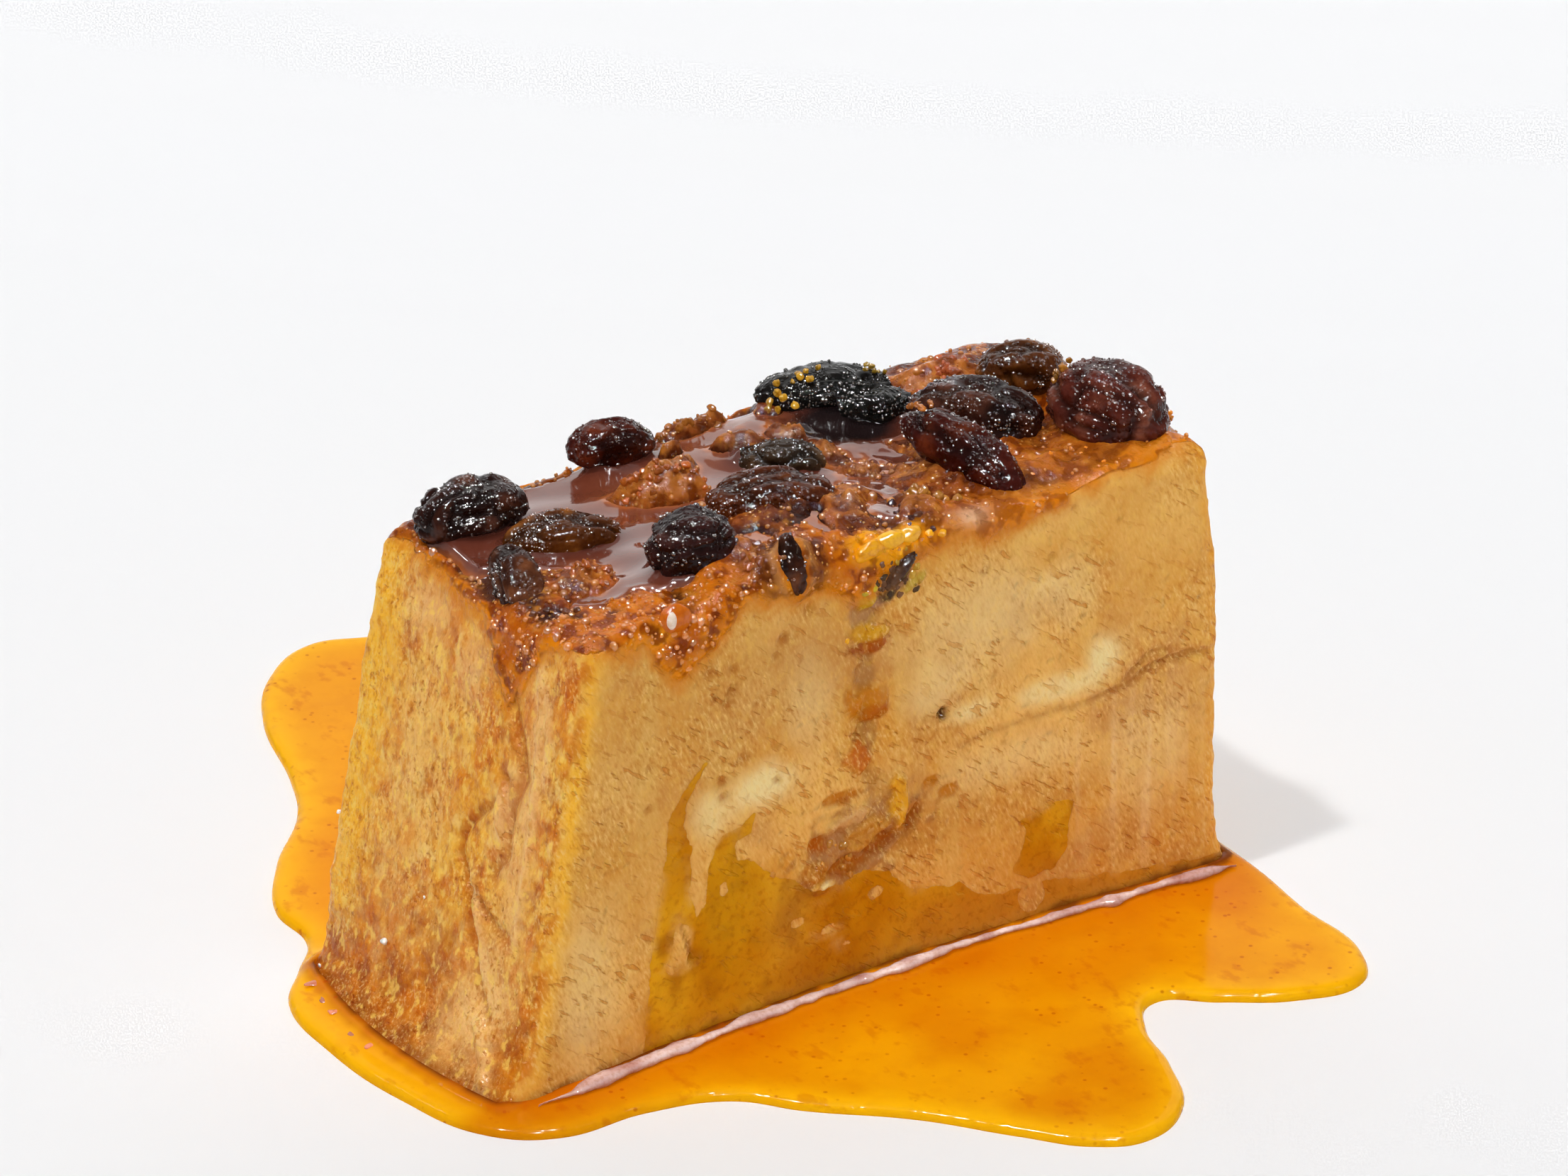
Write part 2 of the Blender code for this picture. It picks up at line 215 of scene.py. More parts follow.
def noise(points, size, seed):
    """Smooth random values from -1 to 1 over features of a size, one number or one per axis."""
    place = points / np.asarray(size, float)
    base = np.floor(place).astype(np.int64)
    share = place - base
    share = share * share * (3 - 2 * share)
    total = np.zeros(len(points))
    for corner in itertools.product((0, 1), repeat=3):
        weight = np.prod(np.where(corner, share, 1 - share), axis=1)
        total += weight * hashed(base + corner, seed)
    return 2 * total - 1


def layered(points, size, seed, layers=3):
    """Noise with finer and weaker noise on top of it."""
    total = np.zeros(len(points))
    for layer in range(layers):
        total += noise(points, np.asarray(size, float) / 2 ** layer, seed + layer) / 2 ** layer
    return total / 1.4


def cells(points, size, seed):
    """Distance to the nearest of many scattered centres, in sizes, and that centre's number."""
    place = points / np.asarray(size, float)
    base = np.floor(place).astype(np.int64)
    nearest = np.full(len(points), 9.0)
    number = np.zeros(len(points))
    for offset in itertools.product((-1, 0, 1), repeat=3):
        cell = base + offset
        centre = cell + np.stack([hashed(cell, seed + axis) for axis in range(3)], axis=1)
        distance = np.linalg.norm(place - centre, axis=1)
        closer = distance < nearest
        nearest = np.where(closer, distance, nearest)
        number = np.where(closer, hashed(cell, seed + 3), number)
    return nearest, number


def line_distance(x, y, line):
    """Distance to a line through some points, and the share of its way at the nearest place."""
    place = np.stack([x, y], axis=1)
    nearest = np.full(len(place), 1e9)
    share = np.zeros(len(place))
    steps = len(line) - 1
    for step in range(steps):
        start, end = np.array(line[step], float), np.array(line[step + 1], float)
        way = end - start
        along = np.clip((place - start) @ way / (way @ way), 0, 1)
        distance = np.linalg.norm(place - start - along[:, None] * way, axis=1)
        closer = distance < nearest
        nearest = np.where(closer, distance, nearest)
        share = np.where(closer, (step + along) / steps, share)
    return nearest, share


def inside_distance(x, y, outline):
    """Distance to a closed outline: above 0 inside it and below 0 outside."""
    distance, _ = line_distance(x, y, list(outline) + [outline[0]])
    inside = np.zeros(len(x), bool)
    for (x0, y0), (x1, y1) in zip(outline, list(outline[1:]) + [outline[0]]):
        if y0 == y1:
            continue
        crosses = ((y0 > y) != (y1 > y)) & (x < (x1 - x0) * (y - y0) / (y1 - y0) + x0)
        inside ^= crosses
    return np.where(inside, distance, -distance)


def blend(colors, other, amount):
    """Mix painted colours with another colour by an amount at each vertex."""
    amount = np.clip(amount, 0, 1)[:, None]
    return colors * (1 - amount) + np.asarray(other) * amount


# ---------------------------------------------------------------- meshes

def add_mesh(name, points, faces, tone=None, layers=None, materials=()):
    """Make an object from points in mm, faces, a colour and a number layer at each vertex."""
    mesh = bpy.data.meshes.new(name)
    mesh.vertices.add(len(points))
    mesh.vertices.foreach_set("co", (np.asarray(points) * MM).astype(np.float32).ravel())
    sizes = np.array([len(face) for face in faces]) if isinstance(faces, list) else None
    if sizes is None:
        corners = faces.ravel()
        sizes = np.full(len(faces), faces.shape[1])
    else:
        corners = np.concatenate([np.asarray(face) for face in faces])
    starts = np.concatenate([[0], np.cumsum(sizes)[:-1]])
    mesh.loops.add(len(corners))
    mesh.loops.foreach_set("vertex_index", corners.astype(np.int32))
    mesh.polygons.add(len(sizes))
    mesh.polygons.foreach_set("loop_start", starts.astype(np.int32))
    mesh.update(calc_edges=True)
    mesh.validate()
    if tone is not None:
        layer = mesh.color_attributes.new("tone", "FLOAT_COLOR", "POINT")
        solid = np.concatenate([tone, np.ones((len(tone), 1))], axis=1)
        layer.data.foreach_set("color", solid.astype(np.float32).ravel())
    for key, values in (layers or {}).items():
        layer = mesh.attributes.new(key, "FLOAT", "POINT")
        layer.data.foreach_set("value", values.astype(np.float32))
    for item in materials:
        mesh.materials.append(item)
    mesh.shade_smooth()
    result = bpy.data.objects.new(name, mesh)
    bpy.context.scene.collection.objects.link(result)
    return result


def vertex_normals(points, quads):
    """Outward direction at each point of a surface of quads."""
    corners = points[quads]
    across = np.cross(corners[:, 2] - corners[:, 0], corners[:, 3] - corners[:, 1])
    total = np.zeros_like(points)
    for corner in range(4):
        np.add.at(total, quads[:, corner], across)
    return total / np.maximum(np.linalg.norm(total, axis=1), 1e-12)[:, None]


def grid_quads(rows, columns, closed=False):
    """Quads between the points of a grid stored row by row; closed joins each row's ends."""
    row, column = np.meshgrid(
        np.arange(rows - 1), np.arange(columns if closed else columns - 1), indexing="ij"
    )
    row, column = row.ravel(), column.ravel()
    after = (column + 1) % columns
    return np.stack([
        row * columns + column, row * columns + after,
        (row + 1) * columns + after, (row + 1) * columns + column,
    ], axis=1)


def finish_piece(piece, slot, *nodes):
    """Fix a piece to the CAD body and hide the CAD nodes that it stands for; slot is not used."""
    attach(piece, BODY)
    if nodes:
        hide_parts(*nodes)
    return piece


# ---------------------------------------------------------------- the slice's shape

def left_side(y, z):
    """X of the left tin side."""
    bow = bowed(y, HALF_WIDTH)
    foot_height = LEFT_FOOT_HEIGHT + LEFT_BULGE_HEIGHT * bow
    foot = (LEFT_FOOT + LEFT_BULGE * bow) * np.exp(-z / foot_height)
    swell = LEFT_SWELL * (y / HALF_WIDTH + 1) / 2 * ramp(*SWELL_RISE, z) * (1 - ramp(*SWELL_FADE, z))
    return LEFT_SIDE + LEFT_LEAN * z - foot - swell


def right_side(y, z):
    """X of the right tin side."""
    foot = (RIGHT_FOOT + RIGHT_BULGE * bowed(y, HALF_WIDTH)) * np.exp(-z / RIGHT_FOOT_HEIGHT)
    return RIGHT_SIDE + foot - RIGHT_TAPER * ramp(RIGHT_TAPER_START, RIGHT_HEIGHT, z)


def front_face(x, z):
    """Y of the front cut face."""
    hollow = FRONT_HOLLOW * bowed(x - HOLLOW_MIDDLE, HOLLOW_REACH)
    return FRONT_CORNER + hollow + FRONT_LEAN * z / LEFT_HEIGHT


def back_face(x):
    """Y of the back cut face."""
    return BACK_CORNER - BACK_HOLLOW * bowed(x - HOLLOW_MIDDLE, HOLLOW_REACH)


def wave(turns, x, y):
    """A wave over the crust, from -1 to 1."""
    return np.sin(turns[0] * x + turns[1] * y)


def crust_height(x, y, mounds=1.0):
    """Top of the plain crust above the table, with all or a share of its mounds."""
    level = LEFT_HEIGHT + (RIGHT_HEIGHT - LEFT_HEIGHT) * ramp(*CRUST_RISE, x)
    for mound_x, mound_y, half_x, half_y, height in CRUST_MOUNDS:
        level = level + mounds * height * bump_at(x, y, (mound_x, mound_y), (half_x, half_y))
    return level + mounds * CRUST_WAVES * wave(LONG_WAVES, x, y) * wave(CROSS_WAVES, x, y)


def slice_points(along, across, up):
    """Points of the slice; along and across run from -1 to 1, and up runs from 0 to 1."""
    half = np.array([HALF_LENGTH, HALF_WIDTH, LEFT_HEIGHT])
    radius = np.array(RIM_RADIUS)
    block = np.stack([along, across, up], axis=1) * half
    low = np.array([-half[0] + radius[0], -half[1] + radius[1], 0.0])
    core = np.clip(block, low, half - radius)
    lean = (block - core) / radius
    length = np.linalg.norm(lean, axis=1)[:, None]
    block = np.where(length > 1e-6, core + radius * lean / np.maximum(length, 1e-6), block)
    x, y, z = block.T
    share = (x / HALF_LENGTH + 1) / 2
    x = left_side(y, z) * (1 - share) + right_side(y, z) * share
    share = (y / HALF_WIDTH + 1) / 2
    y = front_face(x, z) * (1 - share) + back_face(x) * share
    lip = CRUST_LIP * ramp(CRUST_LIP_START, LEFT_HEIGHT, z) * (0.6 + 0.4 * wave(LIP_WAVES, x, y))
    height = z * crust_height(x, y) / LEFT_HEIGHT
    x = x + lip * along ** CRUST_LIP_POWER
    y = y + lip * across ** CRUST_LIP_POWER
    return np.stack([x, y, height], axis=1)


def slice_grid():
    """The block's lattice: its outer points, the quads between them and the ring round its base."""
    n_x, n_y, n_z = SLICE_CELLS
    number = -np.ones((n_x + 1, n_y + 1, n_z + 1), np.int64)
    outer = np.zeros(number.shape, bool)
    outer[0], outer[-1], outer[:, 0], outer[:, -1], outer[:, :, -1] = True, True, True, True, True
    number[outer] = np.arange(outer.sum())
    lattice = np.argwhere(outer)

    def sheet(plane, flipped):
        quads = np.stack([plane[:-1, :-1], plane[1:, :-1], plane[1:, 1:], plane[:-1, 1:]], axis=-1)
        quads = quads.reshape(-1, 4)
        return quads[:, ::-1] if flipped else quads

    quads = np.concatenate([
        sheet(number[:, 0, :], False), sheet(number[:, -1, :], True),
        sheet(number[0, :, :], True), sheet(number[-1, :, :], False),
        sheet(number[:, :, -1], False),
    ])
    ring = np.concatenate([
        number[:-1, 0, 0], number[-1, :-1, 0], number[:0:-1, -1, 0], number[0, :0:-1, 0]
    ])
    along = lattice[:, 0] / n_x * 2 - 1
    across = lattice[:, 1] / n_y * 2 - 1
    return along, across, lattice[:, 2] / n_z, quads, ring[::-1]


# ---------------------------------------------------------------- the crust and its pools

# Outlines of the pools of syrup on the crust, as x and y
POOLS = (
    ((-43.0, 13.0), (-41.8, 9.0), (-41.4, 5.0), (-39.6, 2.8), (-36.0, 1.2), (-32.4, -1.8),
     (-31.6, -5.2), (-34.2, -8.0), (-37.2, -10.0), (-34.0, -12.4), (-29.2, -10.6), (-26.5, -12.6),
     (-22.5, -14.0), (-18.0, -13.0), (-17.0, -5.0), (-16.6, 1.8), (-13.2, 3.0), (-9.0, 2.6),
     (-4.4, 3.4), (-1.0, 7.4), (-2.0, 11.4), (2.0, 14.4), (8.0, 16.6), (11.0, 21.5), (0.0, 21.5),
     (-20.0, 21.0), (-33.0, 21.2), (-42.0, 18.0)),
    ((12.6, 21.0), (12.0, 14.0), (14.2, 8.4), (18.6, 4.6), (23.4, 4.0), (27.0, 7.4), (26.0, 13.0),
     (22.0, 21.0)),
    ((16.2, 3.4), (16.4, -1.6), (18.4, -3.0), (19.6, 0.6), (18.8, 3.6)),
)
# Where syrup lies only between the crust's lumps, and the most that it counts as inside a pool's
# shore, in mm
FILM_OUTLINE = ((-12.0, 6.0), (-13.0, -11.0), (0.0, -15.0), (13.0, -13.0), (19.0, 2.0), (13.0, 16.0),
                (-2.0, 16.0))
FILM_LIMIT = -0.1
# Lumps that stand out of the crust: middle, half size, turn, height, colour
Lump = namedtuple("Lump", "middle half turn height color")
LUMPS = (
    Lump((-12.6, 7.2), (6.6, 2.2), -24, 2.3, (158, 84, 34)),
    Lump((-9.6, 9.6), (4.4, 2.4), 10, 1.7, (134, 72, 34)),
    Lump((-14.6, 9.8), (2.2, 1.8), 40, 1.4, (140, 66, 20)),
    Lump((-0.9, 19.0), (4.6, 1.8), 5, 1.2, (150, 84, 26)),
    Lump((3.1, 19.4), (2.2, 1.4), 5, 0.8, (156, 88, 28)),
    Lump((-31.6, -5.4), (3.6, 4.2), -40, 1.9, (176, 88, 20)),
    Lump((-34.6, -6.6), (2.6, 2.8), 0, 1.5, (132, 64, 18)),
    Lump((-21.8, 19.6), (5.0, 1.2), 4, 0.7, (190, 108, 34)),
    Lump((33.5, 14.2), (4.6, 2.6), -10, 2.7, (184, 96, 50)),
    Lump((36.5, 11.0), (2.6, 2.2), 0, 2.2, (150, 72, 32)),
    Lump((-15.4, -15.6), (2.6, 3.2), 10, 1.5, (142, 74, 26)),
    Lump((-11.0, -18.4), (3.6, 2.4), 0, 1.3, (128, 70, 32)),
    Lump((-6.4, 14.4), (1.6, 0.9), 0, 1.1, (150, 80, 30)),
    Lump((12.4, -12.6), (2.6, 2.0), 30, 1.9, (168, 106, 36)),
    Lump((9.6, -15.4), (2.4, 1.6), 0, 1.4, (104, 54, 20)),
    Lump((17.0, -6.0), (3.6, 3.0), -60, 1.7, (134, 78, 44)),
    Lump((12.0, -1.0), (2.6, 1.8), -30, 1.9, (140, 84, 46)),
    Lump((2.0, 12.2), (3.4, 1.4), -16, 1.5, (128, 78, 50)),
    Lump((9.4, 11.4), (2.8, 1.2), -30, 1.4, (140, 84, 50)),
    Lump((10.6, 5.2), (2.6, 1.6), 20, 1.6, (130, 76, 46)),
    Lump((2.6, -10.6), (3.4, 2.6), 10, 1.6, (116, 66, 36)),
    Lump((-5.6, 0.6), (2.4, 1.2), -20, 1.2, (146, 78, 30)),
    Lump((24.0, -4.0), (2.2, 3.0), 20, 1.3, (150, 80, 26)),
    Lump((31.0, -13.5), (6.0, 4.0), -10, 1.2, (208, 116, 26)),
    Lump((44.0, -17.0), (7.0, 3.6), 5, 0.9, (204, 114, 28)),
    Lump((49.0, -6.0), (3.0, 5.0), 0, 0.9, (196, 108, 30)),
    Lump((-45.4, 14.0), (2.4, 5.0), 0, 0.8, (206, 108, 20)),
)
# Hollows of the crust: middle, half size, depth
CRUST_HOLLOWS = (
    ((-39.8, -2.0), (3.8, 7.0), 1.9),
    ((42.5, -15.5), (10.0, 4.5), 1.5),
    ((25.5, -16.5), (4.0, 4.0), 1.2),
    ((-18.0, 23.4), (26.0, 3.6), 1.6),
)
POOL_DROP = 1.4  # how deep the crust lies below a pool's level
GRAIN = 1.15  # size of the crust's grains
CRUST_CLIMB, CRUST_CLIMB_REACH = 0.9, 1.1  # the crust's rise against the raisins


def raisin_frames():
    """Middle, half size and turn of each raisin, with its middle taken from the CAD."""
    frames = []
    for raisin in RAISINS:
        low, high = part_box(raisin.name)
        yaw, pitch, roll = (math.radians(angle) for angle in raisin.turn)
        turn = np.array(Euler((roll, pitch, yaw)).to_matrix())
        half = np.array(raisin.size) / 2 * raisin.share
        frames.append((np.array((low + high) / 2) / MM, half, turn))
    return frames


def raisin_reach(x, y, z, frames):
    """Rough distance in mm from points on the crust to the nearest raisin's skin."""
    place = np.stack([x, y, z], axis=1)
    nearest = np.full(len(place), 99.0)
    for middle, half, turn in frames:
        local = (place - middle) @ turn
        length = np.linalg.norm(local, axis=1)
        scaled = np.linalg.norm(local / half, axis=1)
        nearest = np.minimum(nearest, length * (1 - 1 / np.maximum(scaled, 1e-3)))
    return nearest


def lump_rise(x, y):
    """The largest rise, from 0 to 1, of the crust's lumps at some places."""
    rises = [bump_at(x, y, lump.middle, lump.half, lump.turn) for lump in LUMPS]
    return np.max(rises, axis=0)


def pool_inside(x, y):
    """Signed distance, roughly in mm, to the shore of the pools; above 0 inside them."""
    flat = on_plane(x, y)
    best = np.max([inside_distance(x, y, outline) for outline in POOLS], axis=0)
    film = np.minimum(inside_distance(x, y, FILM_OUTLINE) * 0.4, FILM_LIMIT)
    film = film + 1.1 * noise(flat, (3.6, 3.6, 1.0), 43) + 0.3 * noise(flat, 1.4, 44)
    best = np.maximum(best, np.minimum(film, 1.2))
    best = np.minimum(best, (0.40 - lump_rise(x, y)) * 5)
    return best + 0.5 * noise(flat, 2.8, 41) + 0.3 * noise(flat, 1.1, 42)


def crust_calm(x, y):
    """Where the crust is smooth: the shelf at the right end and the rim beside it."""
    shelf = bump_at(x, y, (40.0, -15.0), (15.0, 9.0))
    return np.maximum(shelf, bump_at(x, y, (22.0, -19.0), (14.0, 4.0)))


def crust_relief(x, y):
    """How far the rough crust stands above the plain one."""
    flat = on_plane(x, y)
    dry = 1 - ramp(-0.9, 1.1, pool_inside(x, y))
    rise = np.zeros_like(x)
    for middle, half, depth in CRUST_HOLLOWS:
        rise -= depth * bump_at(x, y, middle, half)
    for lump in LUMPS:
        uneven = 0.85 + 0.45 * noise(flat, 1.8, 55)
        rise += lump.height * uneven * bump_at(x, y, lump.middle, lump.half, lump.turn) ** 0.8
    warp = np.stack([noise(flat, 3.0, 51), noise(flat, 3.0, 52), np.zeros_like(x)], axis=1)
    grain, number = cells(flat + 1.4 * warp, GRAIN * 2.0, 53)
    grouped = 0.35 + 0.65 * ramp(-0.2, 0.5, noise(flat, 6.0, 56))
    rough = 1.0 * grouped * (0.45 - grain) * (0.3 + number) + 0.7 * layered(flat + warp, 3.6, 57, 2)
    rough = rough * (1 - 0.75 * crust_calm(x, y))
    return rise + dry * (rough + 0.45 * layered(flat, 5.6, 61) + 0.2) - POOL_DROP * (1 - dry)


def pool_level(x, y):
    """Height of the syrup's surface above the table."""
    return crust_height(x, y, 0.72) + 0.05


# ---------------------------------------------------------------- features of the cut face

# Outlines on the front face, as x and z
# The golden zone: syrup-soaked custard whose colour is partly a painted reflection of the amber sauce
SOAK_AND_REFLECTION_ZONE = (
    (-35.4, 1.0), (-34.8, 8.6), (-34.0, 14.2), (-32.9, 19.8), (-31.6, 25.3), (-31.1, 29.1),
    (-30.7, 32.6), (-29.2, 34.7), (-26.5, 37.4), (-24.6, 38.8), (-27.6, 34.2), (-28.5, 31.2),
    (-27.3, 27.9), (-27.5, 24.0), (-27.6, 20.6), (-26.6, 18.6), (-25.3, 19.4), (-24.8, 23.2),
    (-23.8, 26.6), (-22.4, 28.1), (-19.6, 28.2), (-17.6, 29.5), (-18.2, 27.1), (-20.6, 26.2),
    (-20.3, 24.1), (-17.5, 22.6), (-15.4, 20.6), (-12.0, 18.4), (-8.6, 15.6), (-4.4, 15.2),
    (-0.1, 16.2), (3.3, 14.5), (6.2, 11.6), (9.1, 10.4), (13.5, 10.0), (16.5, 7.6), (20.9, 6.6),
    (27.0, 6.4), (33.0, 5.4), (40.0, 4.4), (48.0, 3.4), (56.0, 3.0), (56.0, -3.0), (-35.4, -3.0),
)
SOAK_AND_REFLECTION_PATCH = (
    (31.3, 16.8), (28.5, 17.4), (26.1, 16.6), (22.6, 16.2), (23.8, 14.4), (23.0, 11.4), (21.7, 8.9),
    (24.7, 7.4), (28.3, 7.6), (30.2, 10.6), (30.5, 14.2),
)
# Milky islands in the golden zone, left out of its syrup colour and painted reflection: x, z, half
# width, half height
DRY_ISLANDS = (
    (-29.2, 14.6, 1.4, 3.0), (-30.4, 12.4, 1.0, 1.2), (1.0, 12.6, 1.2, 0.7), (-6.6, 9.4, 1.1, 0.5),
    (-3.8, 6.9, 0.9, 0.5), (-22.4, 20.4, 0.5, 0.9), (-10.8, 12.0, 1.0, 0.6), (24.6, 5.0, 2.2, 2.2),
)
# Pale custard patches: x, z, half width, half height, strength
CREAM = (
    (-16.6, 32.6, 5.4, 3.4, 1.0), (-24.6, 31.4, 3.6, 3.4, 0.6), (35.2, 35.8, 2.8, 3.8, 1.0),
    (28.4, 33.4, 7.0, 2.0, 0.75), (15.5, 33.6, 4.0, 1.8, 0.8), (17.0, 46.0, 12.0, 9.0, 0.45),
    (10.0, 38.0, 6.0, 4.0, 0.45), (22.0, 25.0, 12.0, 3.4, 0.35), (-44.0, 14.0, 5.0, 13.0, 0.45),
    (41.0, 20.0, 6.0, 9.0, 0.35), (30.0, 47.0, 6.0, 5.0, 0.3), (-9.0, 41.0, 4.0, 9.0, 0.35),
)
CRACK = (
    (53.9, 32.0), (48.1, 33.2), (44.9, 33.2), (41.7, 32.2), (38.5, 30.9), (35.4, 30.3), (30.6, 30.0),
    (25.9, 30.2), (21.9, 30.2), (14.0, 29.4),
)
CRACK_TWIG = ((44.8, 34.8), (42.4, 34.5), (40.0, 33.3), (38.4, 31.4))
FISSURE = ((0.6, 56.0), (0.6, 50.3), (-0.8, 45.9), (-0.7, 39.0), (-1.2, 33.2), (-0.1, 29.9),
           (2.0, 25.3), (4.2, 22.6), (4.0, 19.0), (1.0, 20.6), (-4.0, 22.0), (-7.4, 20.0),
           (-7.0, 16.0))
# Irregular patches of the front face: x and z, half size, turn, rise, colour
Patch = namedtuple("Patch", "middle half turn rise color")
PATCHES = (
    Patch((1.0, 54.6), (4.6, 2.8), 20, 0.15, (182, 138, 112)),
    Patch((-1.2, 50.6), (2.0, 2.8), 0, -0.3, (184, 132, 76)),
    Patch((-0.4, 43.2), (1.8, 2.6), 0, -0.2, (188, 132, 70)),
    Patch((-0.2, 35.4), (1.6, 2.0), 0, -0.2, (186, 126, 58)),
    Patch((0.2, 48.6), (3.6, 1.5), -14, 0.5, (222, 160, 26)),
    Patch((0.2, 46.9), (2.8, 1.2), 0, 0.2, (176, 84, 6)),
    Patch((-0.4, 39.4), (3.8, 2.3), -12, 0.4, (206, 126, 16)),
    Patch((0.9, 38.0), (2.4, 1.3), 0, 0.3, (188, 100, 8)),
    Patch((-1.4, 31.8), (2.6, 2.5), 0, 0.5, (202, 104, 8)),
    Patch((-4.8, 27.4), (2.6, 0.9), -6, -0.2, (198, 116, 8)),
    Patch((9.3, 25.4), (1.1, 0.9), 0, -0.2, (200, 122, 12)),
    Patch((12.2, 23.6), (1.9, 1.0), 0, -0.2, (200, 122, 12)),
    Patch((-2.4, 19.6), (8.6, 5.6), 16, 0.2, (188, 130, 76)),
    Patch((-3.4, 24.0), (4.4, 1.2), 10, 0.5, (222, 172, 108)),
    Patch((-7.6, 21.6), (1.6, 1.9), 30, -0.5, (186, 94, 6)),
    Patch((-0.6, 21.4), (3.8, 2.1), 12, 0.5, (206, 144, 54)),
    Patch((1.6, 19.0), (2.8, 1.3), 20, -0.6, (164, 84, 8)),
    Patch((4.4, 24.2), (1.5, 4.0), 6, 0.6, (240, 176, 34)),
    Patch((6.6, 21.2), (1.2, 2.9), -24, -0.5, (158, 84, 10)),
    Patch((-3.6, 17.4), (3.2, 1.5), 0, -0.5, (174, 96, 10)),
    Patch((-8.4, 18.2), (2.0, 1.4), -20, 0.4, (200, 128, 42)),
    Patch((-7.4, 15.6), (2.8, 1.2), -8, 0.5, (236, 184, 84)),
    Patch((-6.9, 15.5), (1.2, 0.7), 0, 0.3, (254, 236, 168)),
    Patch((-28.1, 14.6), (0.6, 2.8), 18, -0.2, (156, 94, 44)),
    Patch((-27.2, 12.6), (0.9, 1.0), 0, -0.3, (110, 54, 14)),
    Patch((11.3, 34.2), (0.7, 0.9), 20, -0.5, (84, 46, 14)),
    Patch((5.2, 56.0), (4.6, 2.0), 40, 0.1, (138, 98, 74)),
    Patch((2.6, 53.4), (1.8, 1.1), 0, 0.1, (64, 48, 20)),
    Patch((6.6, 53.8), (2.0, 1.0), 30, 0.3, (200, 168, 60)),
    Patch((-0.3, 53.4), (1.5, 1.4), 0, 0.5, (208, 176, 38)),
)
# Lower edge of the crust, as x and z on the front and y and z on the left end
FRONT_EDGE = (
    (-60.0, 60.6), (-46.8, 60.2), (-42.0, 59.6), (-38.6, 58.0), (-36.2, 56.6), (-34.1, 57.6),
    (-32.2, 54.4), (-30.4, 51.8), (-28.2, 51.6), (-26.0, 53.2), (-23.4, 54.8), (-20.2, 57.3),
    (-16.6, 58.0), (-13.5, 57.6), (-10.9, 56.4), (-6.7, 57.0), (-3.5, 54.6), (-1.9, 53.4),
    (0.7, 54.2), (4.0, 56.4), (9.2, 57.6), (14.6, 57.8), (17.6, 57.0), (21.0, 57.2), (25.4, 58.2),
    (30.8, 59.4), (35.2, 60.4), (41.9, 61.4), (47.3, 61.8), (60.0, 61.8),
)
LEFT_EDGE = (
    (-30.0, 60.6), (-21.7, 60.0), (-17.5, 58.4), (-14.2, 56.4), (-11.4, 51.4), (-8.8, 47.6),
    (-6.6, 48.4), (-3.9, 52.6), (-0.8, 55.6), (7.2, 56.9), (11.2, 57.0), (13.8, 57.8), (16.3, 59.6),
    (30.0, 59.6),
)
# Rises and creases of the left end: a line of y and z points, its half width and its height
LEFT_STROKES = (
    (((-4.1, 54.2), (-7.6, 50.1), (-11.6, 44.4), (-13.7, 39.8), (-12.0, 34.5)), 0.9, -0.8),
    (((-8.7, 35.0), (-5.6, 31.8), (-3.9, 29.3), (-3.9, 26.5), (-6.2, 23.8), (-11.0, 21.2),
      (-16.2, 19.7)), 0.55, -0.7),
    (((-10.1, 38.3), (-12.2, 33.7), (-12.7, 29.3), (-11.0, 26.7)), 0.7, -0.9),
    (((-10.6, 36.2), (-10.9, 32.0)), 1.0, 1.0),
    (((-11.4, 58.9), (-14.9, 49.4), (-15.8, 40.7), (-16.7, 31.9), (-17.0, 20.0)), 0.5, 0.45),
    (((-13.0, 56.0), (-16.6, 49.4), (-17.8, 41.0)), 0.45, 0.35),
    (((-6.0, 23.6), (-9.4, 17.6), (-12.6, 12.0), (-15.0, 9.4)), 0.5, -0.6),
    (((-7.0, 24.4), (-10.4, 18.6), (-13.4, 13.2)), 0.55, 0.5),
    (((-13.6, 8.4), (-16.6, 5.0), (-18.6, 1.6)), 0.8, 0.7),
)
# Pores of the front face: x, z, half size, depth
PORES = (
    (11.2, 34.3, 0.7, 0.8), (-12.6, 51.7, 0.9, 0.9), (-23.9, 50.7, 0.8, 0.5),
    (-20.3, 50.1, 0.7, 0.5), (-20.5, 47.2, 0.8, 0.6), (-21.3, 45.5, 0.8, 0.5),
    (-23.4, 47.0, 0.5, 0.4), (-14.0, 33.1, 0.5, 0.4), (-9.0, 54.8, 0.9, 0.5),
    (-14.0, 50.0, 0.5, 0.4), (-17.0, 44.6, 0.4, 0.3), (-19.2, 37.6, 0.9, 0.4),
    (-22.4, 35.4, 0.8, 0.4), (-22.2, 33.4, 0.7, 0.4), (17.6, 52.6, 0.6, 0.4),
    (-33.8, 35.4, 0.5, 0.3), (-33.6, 41.0, 0.4, 0.3), (27.4, 52.0, 0.5, 0.3),
)


def edge_height(values, line):
    """Height of the crust's lower edge at places along a face."""
    return np.interp(values, [point[0] for point in line], [point[1] for point in line])


PATCH_SEED = 700


def patch_mask(points, patch, seed):
    """Where a patch of the front face lies, with an irregular border."""
    x, _, z = points.T
    wander = 0.30 * noise(points, 1.7, seed) + 0.16 * noise(points, 0.8, seed + 1)
    return ramp(0.30, 0.62, bump_at(x, z, patch.middle, patch.half, patch.turn) + wander)


def face_shares(normals):
    """How far each point belongs to the front, back, left, right and top."""
    x, y, z = normals.T
    sides = np.stack([-y, y, -x, x, z], axis=1)
    weights = np.clip(sides, 0, None) ** 4
    return (weights / weights.sum(axis=1)[:, None]).T


PLAIN_EDGE = 57.6  # height of the crust's lower edge on the back and the right end


